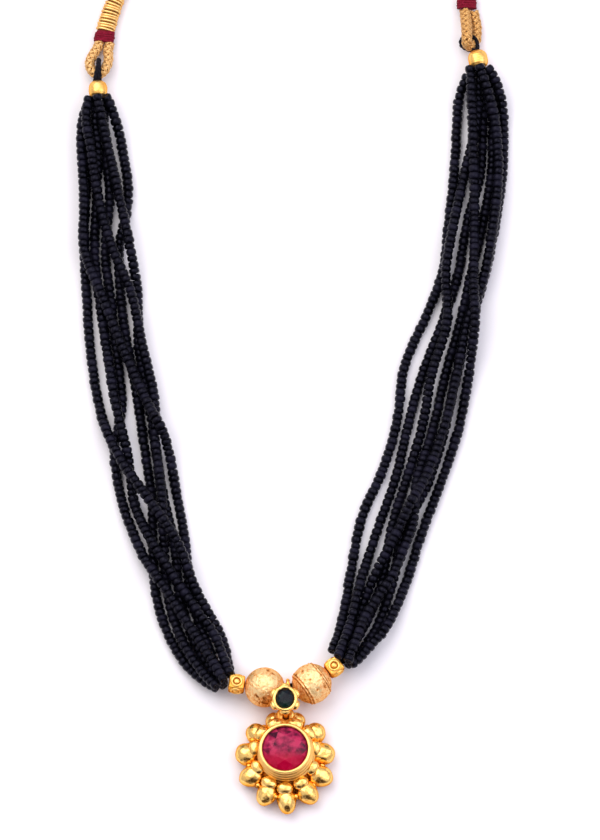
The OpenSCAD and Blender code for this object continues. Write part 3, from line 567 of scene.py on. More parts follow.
RIGHT_STRANDS = [
    [[1, 210], [[0.5, -1.9, 0.3], [1, -2.15, 0], [2, -2.15, 0], [3, -2.15, 0], [4, -2, 0],
     [5, -2.85, 0], [6, -3.5, 0], [7, -2.8, 0], [8, -2.6, 0], [9, -3, 0], [10, -2.6, 0],
     [11, -2, 0.3], [11.4, -1.65, 0.7]], [1.28, 186, 11.85]],
    [[1, 270], [[0.5, 0.4, 0], [1, 0.3, 0], [2, 0.35, 0], [3, -0.4, 0], [4, -0.5, 0], [5, -1.15, 0],
     [6, -1.6, 0], [7, -1.65, 0], [8, -1.2, 0], [9, -1.2, 0], [10, -1.35, 0.3], [10.5, -1.3, 0.8],
     [11, -1.1, 1.05], [11.4, -0.8, 1.6]], [1, 120, 12]],
    [[0, 0], [[0.5, -0.15, 0.85], [1, -0.3, 0.75], [2, -1.1, 0.3], [3, -1.6, 1], [4, -1.7, 1.05],
     [5, -0.65, 1.1], [6, -0.75, 0.8], [7, -0.3, 0.3], [8, -0.15, 0], [9, 0, 0], [10, 0.5, 0],
     [10.5, 0.5, 0], [11, 0.35, 0.3], [11.4, 0.2, 0.9]], [0, 0, 12]],
    [[1, 330], [[0.5, 1.4, 0.1], [1, 1.3, 0], [2, 1.4, 0], [3, 1.1, 0], [4, 0.7, 0], [5, 0.5, 0],
     [6, 0.5, 0], [7, 0.75, 0], [8, 0.85, 0.5], [8.5, 1.4, 1], [9, 1.9, 0.9], [10, 1.4, 1],
     [10.5, 0.7, 1.05], [11, 0.1, 1.35], [11.4, 0.25, 1.9]], [1, 60, 12]],
    [[1, 90], [[0.5, 0.75, 1.85], [1, 1.5, 1.1], [2, 2.1, 1.05], [3, 2.15, 1.05], [4, 2.05, 1],
     [4.5, 1.65, 1], [5, 1.25, 1], [6, 1.6, 1], [7, 1.8, 1.05], [8, 1.6, 1.4], [8.5, 1.15, 2.1],
     [9, 0.8, 1.3], [9.5, 0.35, 1.15], [10, -0.15, 0.8], [10.5, -0.5, 0.1], [11, -0.6, 0],
     [11.4, -0.6, 0.25]], [1, 240, 12]],
    [[1, 150], [[0.5, -0.8, 1.75], [1, -0.7, 1.75], [2, -0.25, 1.2], [3, 0.35, 1.1], [4, 1, 1.6],
     [4.5, 1.5, 2], [5, 2.05, 1.8], [6, 2.75, 0.3], [7, 3.1, 0], [8, 3.05, 0], [9, 2.9, 0],
     [10, 2.8, 0], [11, 2.3, 0.8], [11.4, 1.75, 1.15]], [1, 0, 12]],
    [[1, 30], [[0.5, 1.95, 1], [1, 2.3, 0.1], [2, 2.45, 0], [3, 2.3, 0], [4, 2, 0], [5, 1.5, 0],
     [6, 1.55, 0], [7, 1.85, 0], [8, 1.9, 0], [8.5, 1.5, 0], [9, 1.05, 0], [10, 1.55, 0],
     [11, 1.45, 0], [11.4, 1.2, 0.3]], [1, 300, 12]]]
STRAND_D = 2.0
STEP = 2.2
RING_SHARE = 1.05
TOP_AXIS_Z = 3.5
BEAD_Z = 4.2


def ring_row(station, place, axis_z):
    """Row at a strand's end: its steps out and its angle turned into steps across and up."""
    r, a = place[0] * RING_SHARE, math.radians(place[1])
    return [station, r * math.cos(a), (axis_z - STRAND_D / 2) / STEP + r * math.sin(a)]


def strand_line(path, top, rows, end):
    """Middle line of a strand: the bundle's line at each station, moved across and up by the
    strand's own rows."""
    rows = smooth([ring_row(0, top, TOP_AXIS_Z)] + rows + [ring_row(end[2], end, BEAD_Z)])
    s = rows[:, 0]
    heading = unit(at_station(path, np.minimum(s + 0.01, len(path) - 1))
                   - at_station(path, np.maximum(s - 0.01, 0)))
    across = np.stack([-heading[:, 1], heading[:, 0]], -1)
    flat = at_station(path, s) + across * rows[:, 1:2] * STEP
    return np.column_stack([flat, STRAND_D / 2 + rows[:, 2] * STEP])


# %% [markdown]
# ### One bead
# A seed bead is a short bit cut from a drawn glass tube and then softened in fire, so it is
# wider than it is long, its rims are round and its length varies. Its section is a closed
# loop of eight points, and all the beads of a strand are worked out as one array.

# %% Bead strands
BEAD_SECTION = np.array([[-0.5, 0.48], [-0.5, 0.7], [-0.37, 0.92], [0.0, 1.0],
                         [0.37, 0.92], [0.5, 0.7], [0.5, 0.48], [0.0, 0.36]])
BEAD_SIDES = 12
BEAD_PITCH = 1.33
BEAD_D = 2.22
# A bead fills this much of its share of the line, so it stays clear of the next one.
BEAD_FILL = 0.985
# How uneven the beads are: their length, lean, shift in mm, and width.
LENGTH_SPREAD, LEAN_SPREAD, SHIFT_SPREAD, WIDTH_SPREAD = 0.14, 0.09, 0.035, 0.04
CORE_D = 0.6
random = np.random.default_rng(7)


def bead_strand(line):
    """Beads one after another along a line: each has its own length, width, lean and tone.
    A section point stands its share of the length along the bead's axis and its share of the
    radius out, at each of twelve angles. Returns one skin, its tones and the count."""
    total = lengths_along(line)[-1]
    count = round(total / BEAD_PITCH)
    share = 1 + random.uniform(-LENGTH_SPREAD, LENGTH_SPREAD, count)
    length = share * total / share.sum()
    middle = np.cumsum(length) - length / 2
    centre = at_length(line, middle)
    ahead = unit(at_length(line, middle + 0.4) - at_length(line, middle - 0.4))
    side, rise = square_to(ahead)
    lean = random.normal(0, LEAN_SPREAD, (count, 2))
    ahead = unit(ahead + lean[:, :1] * side + lean[:, 1:] * rise)
    side, rise = square_to(ahead)
    shift = random.normal(0, SHIFT_SPREAD, (count, 2))
    centre = centre + shift[:, :1] * side + shift[:, 1:] * rise
    radius = BEAD_D / 2 * random.normal(1.0, WIDTH_SPREAD, count).clip(0.91, 1.07)
    ring = radius[:, None, None] * on_ring(full_turn(BEAD_SIDES), side[:, None], rise[:, None])
    z, r = BEAD_SECTION.T
    along = BEAD_FILL * length[:, None] * z
    grid = centre[:, None] + along[..., None] * ahead[:, None]
    grid = grid[:, :, None] + r[:, None, None] * ring[:, None]
    one = grid_faces(len(z), BEAD_SIDES, True)
    if volume(grid[0].reshape(-1, 3) - centre[0], [one]) < 0:
        one = one[:, ::-1]
    per_bead = len(z) * BEAD_SIDES
    faces = (one + per_bead * np.arange(count)[:, None, None]).reshape(-1, 4)
    tone = np.repeat(random.uniform(0, 1, count), per_bead)
    return (grid.reshape(-1, 3), [faces]), tone, count


# The beads at a strand's ends slide a little further than the CAD tube goes.
END_REACH = 0.9
bead_total = 0
for side_name, path, strands in (("left", LEFT_PATH, LEFT_STRANDS),
                                 ("right", RIGHT_PATH, RIGHT_STRANDS)):
    for k, (top, rows, end) in enumerate(strands, 1):
        line = strand_line(path, top, rows, end)
        first = line[0] + END_REACH * min(1, top[0]) * unit(line[0] - line[3])
        last = line[-1] + END_REACH * unit(line[-1] - line[-4])
        line = even(np.vstack([first, line, last]), 0.4)
        beads, tone, count = bead_strand(line)
        bead_total += count
        core = skin(tube(even(line, 1.5), CORE_D, CORE_D, 6))
        make_piece("beads", f"strand_{side_name}_{k}", [beads, core],
                   [black_glass, black_thread], [tone, 0.0], 1)
print(bead_total, "seed beads")

# %% [markdown]
# ## Beads with a bore
# A gold bead is hollow, with a bore for the thread. It is drawn here as rings round its
# bore, from one mouth to the other and back along the bore's wall, so that the skin closes
# on itself. How far each point is from the middle is a formula of its direction, which can
# make a ball, a cube or a barrel, with pits and dents.

# %% Bored beads
THREAD_D = 1.0
BORE_D = 1.6
BALL_R = 4.2
ball_left_at = np.array([-4.25, 15.7, BEAD_Z])
ball_right_at = np.array([5.6, 16.5, BEAD_Z])


def heading(degrees):
    """Direction on the table at an angle from +X."""
    a = math.radians(degrees)
    return np.array([math.cos(a), math.sin(a), 0.0])


# The thread runs these ways through the left and the right beads.
LEFT_AXIS, RIGHT_AXIS = heading(173), heading(35.8)


def bored(at, axis, reach, rows=150, columns=220):
    """Skin of a bead with a bore. A direction makes an angle with the axis and another round
    it. reach gives each direction's distance, and the last six rows run back inside."""
    axis = unit(axis)
    ring = on_ring(full_turn(columns), *square_to(axis))
    first = math.asin(BORE_D / 2 / reach(axis[None])[0])
    polar = np.linspace(first, np.pi - first, rows)
    away = on_ring(polar[:, None], -axis, ring)
    outer = reach(away.reshape(-1, 3)).reshape(rows, columns, 1) * away
    back = np.linspace(0, 1, 8)[1:-1, None, None]
    start, end = ((outer[k] @ axis)[:, None] for k in (-1, 0))
    inner = (start * (1 - back) + end * back) * axis + BORE_D / 2 * ring
    return skin(np.concatenate([outer, inner]) + np.asarray(at, float), wrap=True)


def hump(away, toward, width):
    """One at a direction, falling smoothly to nothing at width from it on the unit ball: one
    less the square of the share of the width, and that squared."""
    d = np.linalg.norm(away - toward, axis=-1) / width
    return np.clip(1 - d * d, 0, None) ** 2


def seen(right, up):
    """Direction from a bead's middle to the point that the photograph shows at these shares
    of its radius to the right and up."""
    out = math.sqrt(1 - right * right - up * up)
    return np.array([right, 0, 0]) + up * photo_up + out * to_camera


def waves(away, scale, seed):
    """A soft random field over directions: twice the mean of twelve waves, each the sine of
    the direction dotted with its own random vector, plus a random start."""
    rng = np.random.default_rng(seed)
    k = rng.normal(0, scale, (12, 3))
    start = rng.uniform(0, 2 * np.pi, 12)
    return np.sin(away @ k.T + start).mean(-1) * 2


# %% [markdown]
# ### The frosted balls
# The left ball is round, with a slot at its left and a rough patch low in front. The right
# one is two smooth caps with a belt between them, edged by two fine ridges a side. Pits and
# wear hold old brown polish, and the sides and grooves take painted shade, so each formula
# gives a point's age and shade beside its distance.

# %% Frosted balls
# Pits: shares of the radius to the right and up, width as such a share, and depth in mm.
LEFT_PITS = ((0.17, 0.88, 0.13, 0.28), (0.47, 0.68, 0.11, 0.22), (-0.45, -0.42, 0.14, 0.24),
             (-0.36, -0.5, 0.12, 0.2))
RIGHT_PITS = ((-0.48, 0.64, 0.12, 0.3), (-0.78, 0.42, 0.12, 0.3), (-0.08, 0.2, 0.1, 0.16),
              (0.32, -0.3, 0.12, 0.24), (0.64, -0.15, 0.12, 0.24))
BELT_HALF = 2.45
BELT_PROUD = 0.06
RIDGE_PROUD = 0.2


def bell(x, middle, width):
    """A smooth bump of one at a middle: e to the minus square of the steps from it."""
    return np.exp(-((x - middle) / width) ** 2)


def pitted(away, r, age_and_shade, pits, dark):
    """Distance and age with pits: each takes its depth off, and adds dark times that."""
    for right, up, width, depth in pits:
        dip = depth * hump(away, seen(right, up), width)
        r, age_and_shade = r - dip, age_and_shade + dark * dip
    return r, age_and_shade


def left_ball(away):
    """Distance, and age with painted shade, of the left ball: round, with soft dents, pits and a
    rough patch, where the frosting is worn and brown. Its sides are darker than its top, which
    is painted shade."""
    r = BALL_R + 0.03 * waves(away, 3, 1) + 0.012 * waves(away, 12, 2)
    # The sides and underside are darker than the top: painted shade.
    r, age_and_shade = pitted(away, r, 0.3 * np.clip(1 - away[:, 2], 0, 1), LEFT_PITS, 4.0)
    rough = hump(away, seen(0.0, -0.74), 0.62)
    flaky = np.abs(waves(away, 16, 3))
    r -= rough * (0.12 * flaky + 0.05 * np.abs(waves(away, 30, 4)))
    return r, age_and_shade + rough * (0.3 + flaky)


def right_ball(away):
    """Distance, and age with painted shade, of the right ball: a smooth cap at each end of the bore
    and between them a raised belt. Two fine ridges run along each edge of the belt, with painted
    shade beside them, and the sides are painted darker than the top."""
    x = np.abs(away @ RIGHT_AXIS) * BALL_R - BELT_HALF
    belt = 1 / (1 + np.exp(x * 9))
    ridge = bell(x, -0.16, 0.15) + 0.8 * bell(x, -0.62, 0.15)
    r = BALL_R - 0.04 + BELT_PROUD * belt + RIDGE_PROUD * ridge
    r += belt * (0.035 * waves(away, 4, 5) + 0.02 * waves(away, 14, 6))
    # Painted shade on the sides and in the grooves beside the ridges; the caps are a little older.
    age_and_shade = 0.22 * np.clip(1 - away[:, 2], 0, 1) + 0.12 * (1 - belt)
    age_and_shade += 0.8 * bell(x, -0.39, 0.12) + 0.6 * bell(x, 0.12, 0.14)
    return pitted(away, r, age_and_shade, RIGHT_PITS, 3.5)


for name, at, axis, shape in (("ball_left", ball_left_at, LEFT_AXIS, left_ball),
                              ("ball_right", ball_right_at, RIGHT_AXIS, right_ball)):
    ball = bored(at, axis, lambda away: shape(away)[0])
    make_piece("frosted", name, [ball], [frosted_gold],
               [shape(unit(ball[0] - at))[1]])

# %% [markdown]
# ### The cube beads
# A cube bead is a small cast cube with soft edges. Its section is a superellipse, where
# the sum of the eighth powers of the three coordinates is one: a ball has second powers,
# and the higher they are the squarer it gets. A ring of wire with a dot in it is soldered
# on each of the four sides.

# %% Cube beads
CUBE_W = 3.2
CUBE_POWER = 8
# Its length along the bore counts 0.95, which makes it a little longer that way.
CUBE_ALONG = 0.95
BEAD_GAP = 0.1
CUBE_RING_R, DOT_R, DOT_H = 1.03, 0.64, 0.36
bead_to_cube = BALL_R + CUBE_W / 2 + BEAD_GAP
cube_left_at = ball_left_at + bead_to_cube * LEFT_AXIS
cube_right_at = ball_right_at + bead_to_cube * RIGHT_AXIS + [-0.1, 0.1, 0]


def cube_bead(at, axis, roll):
    """Skins, and ages with painted shade, of a cube bead: the cube, and on each side a ring round a
    low dome.
    """
    across = unit(np.cross(UP, axis))
    a = math.radians(roll)
    y = math.cos(a) * across + math.sin(a) * np.array(UP)
    z = np.cross(axis, y)
    to_cube = np.stack([axis, y, z])

    def reach(away):
        """Distance to the superellipse: half the width over the eighth root of the sum."""
        c = np.abs(away @ to_cube.T) * [CUBE_ALONG, 1, 1]
        root = (c ** CUBE_POWER).sum(-1) ** (1 / CUBE_POWER)
        return CUBE_W / 2 / root * (1 + 0.008 * waves(away, 5, 9))

    skins = [bored(at, axis, reach, rows=90, columns=120)]
    place = (skins[0][0] - at) @ to_cube.T
    # Painted shade: the cube is darker low down, and each side is darker inside its ring, round the
    # dome.
    age_and_shade = 0.33 + shade_below(skins[0][0], top=at[2] + 1.3, bottom=at[2] - 1.4, most=0.55)
    for k in (1, 2):
        in_ring = np.hypot(place[:, 0], place[:, 3 - k]) < CUBE_RING_R - 0.08
        age_and_shade += 0.8 * ((np.abs(place[:, k]) > CUBE_W / 2 - 0.12) & in_ring)
    e = np.linspace(-np.pi / 2 * 0.98, np.pi / 2 * 0.98, 14)
    dome = np.column_stack([DOT_H * np.sin(e), DOT_R * np.cos(e)])
    for k in range(4):
        out = on_ring(np.array(k * np.pi / 2), z, y)
        base = at + out * (CUBE_W / 2 - 0.02)
        ring = oval(base, CUBE_RING_R * axis, CUBE_RING_R * np.cross(out, axis), 48)
        skins.append(skin(tube(ring, 0.58, 0.54, sides=10, closed=True, up=out), True))
        skins.append(skin(turned(dome, base - 0.02 * out, out, sides=20, up=axis)))
    return skins, [age_and_shade] + [0.12] * 8


for name, at, axis, roll in (("spacer_left", cube_left_at, LEFT_AXIS, 8),
                             ("spacer_right", cube_right_at, RIGHT_AXIS, 0)):
    skins, ages_and_shades = cube_bead(at, axis, roll)
    make_piece("cast", name, skins, [cast_gold], ages_and_shades)

# %% [markdown]
# ### The round beads
# A round gold bead gathers each side's strands. It is cast between a ball and a barrel,
# with faint lines from turning. Its side towards the bottom of the view is darker, a painted
# reflection of the dark front of the room, and its underside takes painted shade.

# %% Round beads
top_left_at = np.array([-39.4, 145.65, 3.3])
top_right_at = np.array([40.7, 152.2, 3.5])
left_stem = np.array([[-39.4, 143.75, 3.5], [-39.35, 148.4, 2.9]])
right_stem = np.array([[40.65, 150.35, 3.5], [39.85, 154.9, 3.5]])
ALONG_STEM = 0.25


def barrel(away, axis, radius):
    """Distance of a point: the radius over the root of the sum of two powers, that of the
    share along the axis and that across it, with faint dents and fine turned lines."""
    x = away @ axis
    root = (np.abs(x) ** 2.6 + (1 - x * x) ** 1.3) ** (1 / 2.6)
    return radius / root * (1 + 0.008 * waves(away, 4, 11) + 0.006 * np.cos(x * 30))


for name, at, stem, radius in (("top_bead_left", top_left_at, left_stem, 1.97),
                               ("top_bead_right", top_right_at, right_stem, 2.06)):
    axis = unit(stem[1] - stem[0])
    at = at + ALONG_STEM * axis
    bead = bored(at, axis, lambda away: barrel(away, axis, radius), rows=110, columns=90)
    # Painted reflection of the room's dark front on the side towards the bottom of the view, and
    # painted shade low down.
    age_and_shade = 0.12 + 0.5 * np.clip(-(bead[0] - at) @ photo_up / 1.9, 0, 1) ** 1.5
    age_and_shade += shade_below(bead[0], top=at[2] + 0.6, bottom=at[2] - 1.5, most=0.3)
    make_piece("round", name, [bead], [cast_gold], [age_and_shade])

# %% [markdown]
# ## Twisted threads
# The thread comes out of a round bead as a bundle of plies, twisted round each other, and
# loops through the eye of the cord. Another runs through both balls from cube to cube.

# %% Twisted threads
PLIES, PLY_SIDES = 3, 8
LAY = 3.0


def twist(line, d, closed=False, up=UP):
    """Skins of plies laid round a line: each stands a quarter of the width from it, at an
    angle that makes a full turn every lay, with its share of a turn between two plies. On
    a closed line the lay is stretched to fit in a whole number of times."""
    lay = LAY
    if closed:
        ring = np.vstack([line, line[:1]])
        total = lengths_along(ring)[-1]
        s = np.linspace(0, total, round(total / 0.2), endpoint=False)
        line = at_length(ring, s)
        lay = total / max(1, round(total / LAY))
    else:
        line = even(line, 0.2)
        s = lengths_along(line)
    _, side, rise = frames(line, closed, up)
    paths = [line + d / 4 * on_ring(2 * np.pi * (s / lay + k / PLIES), side, rise)
             for k in range(PLIES)]
    return [skin(tube(path, d / 2, d / 2, PLY_SIDES, closed, up), closed) for path in paths]


# The left thread is two loops that meet at the top and stand 0.8 mm apart at the bead.
FORK_AT, FORK_Z, FORK_Y = (-39.25, 150.15, 2.9), 1.75, 2.3
ring = oval(FORK_AT, (0, 0, FORK_Z), (0, FORK_Y, 0), 96)
near = np.clip((FORK_AT[1] + 0.6 * FORK_Y - ring[:, 1:2]) / (1.6 * FORK_Y), 0, 1)
left_lines = [ring + near * [x, 0, 0] for x in (-0.7, 0.1)]
# The right thread lies flat under the eye: up its right side, round its tip and back.
RIGHT_THREAD = [[40.5, 154.5, 3.2], [40.5, 155.6, 3], [40.2, 157, 2.7], [39.2, 157.9, 2.3],
    [37.9, 157.9, 1.7], [37.15, 157.2, 1.6], [37.25, 156, 1.8], [38.3, 155.1, 2.3],
    [39.7, 154.5, 2.8]]
right_lines = [smooth(RIGHT_THREAD, 10)]
for name, lines, width, up, stem in (
        ("thread_loop_left", left_lines, 1.1, (1, 0, 0), left_stem),
        ("thread_loop_right", right_lines, 1.0, UP, right_stem)):
    skins = [s for line in lines for s in twist(line, width, True, up)]
    make_piece("plied", name, skins + twist(even(stem, 0.3), THREAD_D), [black_thread])

cube_left_out = cube_left_at + CUBE_W / 2 * LEFT_AXIS
cube_right_out = cube_right_at + CUBE_W / 2 * RIGHT_AXIS
bail_at = (ball_left_at + ball_right_at) / 2
route = [cube_left_out, (cube_left_out + ball_left_at) / 2, ball_left_at, bail_at,
         ball_right_at, (cube_right_out + ball_right_at) / 2, cube_right_out]
line = [np.linspace(a, b, 12)[:-1] for a, b in zip(route, route[1:])] + [cube_right_out[None]]
make_piece("plied", "centre_thread", twist(np.concatenate(line), THREAD_D),
           [black_thread])

# %% [markdown]
# ## The cord's ends
# At each side the cord is doubled back into an eye. Crimson thread binds it to itself, and
# gold wire is wrapped tightly round the doubled cord above that. Both eyes reach a little
# further than in the CAD, and the right one's near leg lies flatter.

# %% Cord eyes
LEFT_EYE = [[-39.1, 157, 1.6], [-39.6, 155.4, 1.65], [-40.55, 153.8, 1.9], [-41.15, 152.2, 2.3],
    [-41, 150.9, 2.7], [-40.4, 149.9, 2.9], [-39.4, 149.5, 2.9], [-38.4, 149.9, 2.9],
    [-37.75, 150.9, 2.7], [-37.3, 152.2, 2.3], [-37.2, 153.7, 1.95], [-37.3, 155, 1.65],
    [-36.85, 156.6, 1.6]]
RIGHT_EYE = [[37.95, 163.6, 1.9], [38.05, 162.4, 2.2], [38.15, 160.8, 3], [38.25, 159.2, 3.7],
    [38.3, 157.7, 4.2], [38.3, 156.6, 4.2], [38.4, 155.85, 3.6], [38.95, 155.6, 2.8],
    [39.6, 156.1, 2.1], [40.25, 157.3, 1.6], [40.4, 158.9, 1.4], [40.4, 160.5, 1.3],
    [40.05, 162.2, 1.35], [39.85, 163.55, 1.4]]
# The right eye is darker all over.
RIGHT_DARKER_BY = 0.25
for name, points, thick, darker_by in (("cord_loop_left", LEFT_EYE, 2.1, 0.0),
                                  ("cord_loop_right", RIGHT_EYE, (2.35, 2.05), RIGHT_DARKER_BY)):
    skins, tones = braid(smooth(points, 8), thick)
    make_piece("braided", name, skins, [zari_cord, core_in_shade],
               [tone + darker_by for tone in tones], 1)

# %% [markdown]
# ### Wire and thread wound round
# Wire and binding thread are the same shape: one long coil round an oval or a rounded bar,
# over a plain heart that closes the view between its turns; under the wire the heart takes
# the core's painted shade. Wound by hand, its turns slip and lean a little, which slow sines
# give without a random draw.

# %% Wire wrapping and bindings
LEFT_WRAP = [[-37.9, 159.2, 1.6], [-37.15, 162, 1.5], [-36.1, 165.2, 1.45], [-34.8, 168.5, 1.45],
    [-33.4, 171.7, 1.45]]
RIGHT_WRAP = [[38.2, 167, 1.75], [37.7, 170, 1.6], [37, 173.4, 1.5], [36, 176.8, 1.45],
    [34.9, 180, 1.45]]
# The two legs of each eye, where its binding starts.
LEFT_LEGS = [[-39.4, 156.05, 1.6], [-37.35, 155.5, 1.6]]
RIGHT_LEGS = [[37.35, 163.6, 2.1], [39.35, 163.55, 1.4]]
WRAP_W, WRAP_H = (4.1, 3.5), 2.7
BINDING_W, BINDING_H, BINDING_L = 4.3, 2.6, 2.7
CORD_GAP = 0.15


def coil(line, w, h, wire, pitch, power=2.0, up=UP, wobble=0.0):
    """Skin of a wire wound round a line: at each step its middle stands on an oval, or a
    rounded bar where the power is above two, and moves on by one pitch each turn. The
    width may be a pair, one for each end. A wobble makes its turns slip, lean and swell."""
    line = even(line, 0.1)
    total = lengths_along(line)[-1]
    turns = (total - wire) / pitch
    t = np.linspace(0, 1, int(turns * 36))
    a = 2 * np.pi * turns * t
    slip = wobble * (1.4 * np.sin(a * 0.31) + 3.5 * np.sin(a * 0.043 + 0.5) * np.cos(a))
    s = np.clip(wire / 2 + t * (total - wire) + slip, 0, total)
    here, ahead, side, rise = (at_length(line, s, v) for v in (line, *frames(line, False, up)))
    w = np.interp(s, [0, total], np.broadcast_to(w, 2))
    swell = (1 + wobble * np.sin(a * 0.37 + 1.3) * np.sin(a * 0.11)) / 2
    across, over = (np.sign(v) * np.abs(v) ** (2 / power) for v in (np.cos(a), np.sin(a)))
    path = (here + ((w - wire) * swell * across)[:, None] * side
            + ((h - wire) * swell * over)[:, None] * rise)
    return skin(tube(path, wire, wire, 8, False, ahead))


for name, points in (("wire_wrap_left", LEFT_WRAP), ("wire_wrap_right", RIGHT_WRAP)):
    line = smooth(points)
    line[0] += 0.3 * unit(line[0] - line[1])
    wound = coil(line, WRAP_W, WRAP_H, wire=0.6, pitch=0.65, power=2.5, wobble=0.06)
    heart = skin(tube(line, WRAP_W[1] - 0.9, WRAP_H - 0.9, sides=24))
    make_piece("wound", name, [wound, heart], [wire_gold, core_in_shade], last=1)

for name, legs, wrap, move in (("red_binding_left", LEFT_LEGS, LEFT_WRAP, 0.5),
                               ("red_binding_right", RIGHT_LEGS, RIGHT_WRAP, 0.0)):
    near, far = np.array(legs)
    axis = unit(wrap[0] - (near + far) / 2)
    start = (near + far) / 2 + (2 * CORD_GAP + move) * axis
    up = unit(np.cross(unit(far - near - ((far - near) @ axis) * axis), axis))
    up = up * np.sign(up[2])
    line = start + np.linspace(0, BINDING_L, 20)[:, None] * axis
    wound = coil(line, BINDING_W, BINDING_H, wire=0.46, pitch=0.36, power=2.7, up=up, wobble=0.06)
    heart = skin(tube(line[1:-1], BINDING_W - 0.7, BINDING_H - 0.7, sides=24, up=up))
    make_piece("wound", name, [wound, heart], [crimson_thread])

# %% [markdown]
# ## The sleeve behind the neck
# The photograph doesn't show how the cord closes, so it ends plainly: both ends go into one
# sleeve of the same gold thread, wound tight over a thin wall.

# %% Sleeve
sleeve_at = np.array([1, 207.6, 1.9])
SLEEVE_D, SLEEVE_L = 3.6, 7.0
WALL = np.array([[-3.3, 1.45], [3.3, 1.45], [3.3, 1.2], [-3.3, 1.2]])
line = sleeve_at + np.linspace(-SLEEVE_L / 2, SLEEVE_L / 2, 40)[:, None] * [1.0, 0, 0]
wall = np.concatenate([np.linspace(a, b, 8, endpoint=False)
                       for a, b in zip(WALL, np.roll(WALL, -1, 0))])
sleeve = make_piece("wound", "slide_knot", [
    coil(line, SLEEVE_D, SLEEVE_D, wire=0.4, pitch=0.38),
    skin(turned(wall, sleeve_at, axis=(1, 0, 0)), True)],
    [zari_cord])

# %% [markdown]
# ## The pendant's setting
# The setting is one soldered piece: a back plate, eleven outer drops, eleven smaller oval
# beads that lean on a round collar, and the collar's stepped rim that holds the stone.
# Drops and beads are eggs, worked out as a half circle of radii along an axis.

# %% Pendant measures
DROPS = 11
DROP_PITCH = 32.0
DROP_L, DROP_H = 5.2, 4.6
PENDANT_RX, PENDANT_RY = 10.4, 11.2
COLLAR_Y, COLLAR_Z, COLLAR_R = 1.6, 7.9, 5.42
angles = np.radians(-90 + (np.arange(DROPS) - 5) * DROP_PITCH)


def egg(at, axis, size, steps, lumps=0.0, seed=0, taper=0.0):
    """Skin of an egg of a length, width and height: along its axis it runs as minus cos t,
    its radius is a power of sin t, times a factor that grows from its inner to its outer
    end by the taper. Waves make it uneven."""
    long, wide, high = size
    t = np.linspace(0.06, np.pi - 0.06, steps)
    along = -np.cos(t)
    radius = np.sin(t) ** 0.9 * (1 + taper * along) / (1 + abs(taper) * 0.35)
    profile = np.column_stack([along * long / 2, radius * wide / 2])
    grid = turned(profile, (0, 0, 0), axis, steps) * [1, 1, high / wide]
    uneven = 1 + lumps * waves(unit(grid).reshape(-1, 3), 3.2, seed)
    return skin(grid * uneven.reshape(steps, steps, 1) + np.asarray(at, float))


def rounded(profile, passes=2):
    """A closed profile with its corners cut: each side keeps its middle half, each pass."""
    p = np.asarray(profile, float)
    for _ in range(passes):
        q = np.roll(p, -1, 0)
        p = np.stack([0.75 * p + 0.25 * q, 0.25 * p + 0.75 * q], 1).reshape(-1, 2)
    return p


# %% [markdown]
# ### Drops, oval beads and grains
# Hand-made, so no drop stands quite even. The table gives how far right and up of its even
# place each one stands, and its size. Drops at the sides are wider, lower ones point
# outwards, and a grain of gold sits in each gap between two drops.

# %% Drops, oval beads and grains
DROP_SHIFT = [[0.5, 0.25, 0.86], [0.45, 0.6, 0.96], [0.05, 0.75, 1.0], [0.0, 0.75, 1.0],
              [0.3, 0.4, 0.98], [0.4, 0.05, 1.0], [0.6, 0.65, 1.02], [0.5, 0.8, 1.0],
              [0.0, 0.8, 1.0], [-0.1, 0.7, 0.96], [-0.35, 0.3, 0.84]]
OVAL_AT, OVAL_RX, OVAL_RY_FRONT, OVAL_RY_BACK = np.array([0, 1.9, 3.9]), 6.3, 8.0, 6.2
OVAL_SIZE = (3.5, 2.85, 2.5)
GRAIN_AT, GRAIN_RX, GRAIN_RY = np.array([0.15, 0.5, 2.8]), 7.75, 8.4
GRAIN_SIZE = (1.35, 1.3, 1.3)
places = on_ring(angles, np.array([PENDANT_RX - DROP_L / 2, 0, 0]),
                 np.array([0, PENDANT_RY - DROP_L / 2, 0])) + [0, 0, DROP_H / 2]
skins, ages_and_shades = [], []
for k, (a, at, (right, up, size)) in enumerate(zip(angles, places, DROP_SHIFT)):
    at = at + [right, up, 0]
    wide = (4.3 + 0.5 * abs(math.cos(a))) * size
    taper = -0.14 if math.sin(a) < -0.3 else 0.05
    skins.append(egg(at, at * [1, 1, 0], (DROP_L * size * 1.04, wide, DROP_H), steps=44,
                     lumps=0.05, seed=k, taper=taper))
    p = skins[-1][0]
    # Painted shade low down, and painted reflection of the room's dark front on each drop's side
    # towards the bottom of the view.
    in_shade = np.clip(-unit(p - p.mean(0)) @ photo_up - 0.4, 0, 1)
    ages_and_shades.append(shade_below(p, top=2.8, bottom=0.6, most=0.5) + 0.6 * in_shade)
for k, a in enumerate(angles):
    reach_y = OVAL_RY_FRONT if math.sin(a) < 0 else OVAL_RY_BACK
    out = np.array([OVAL_RX * math.cos(a), reach_y * math.sin(a), 0])
    skins.append(egg(OVAL_AT + out, (-out[1], out[0], 0), OVAL_SIZE, steps=32, lumps=0.015,
                     seed=20 + k))
    ages_and_shades.append(shade_below(skins[-1][0], top=4.1, bottom=2.9, most=0.7))
for k, a in enumerate((angles[1:] + angles[:-1]) / 2):
    at = GRAIN_AT + [GRAIN_RX * math.cos(a), GRAIN_RY * math.sin(a), 0]
    skins.append(egg(at, at * [1, 1, 0], GRAIN_SIZE, steps=18, lumps=0.02, seed=40 + k))
    ages_and_shades.append(shade_below(skins[-1][0], top=3.6, bottom=3.0, most=0.8))
eggs = len(skins)
print(eggs, "drops, oval beads and grains")
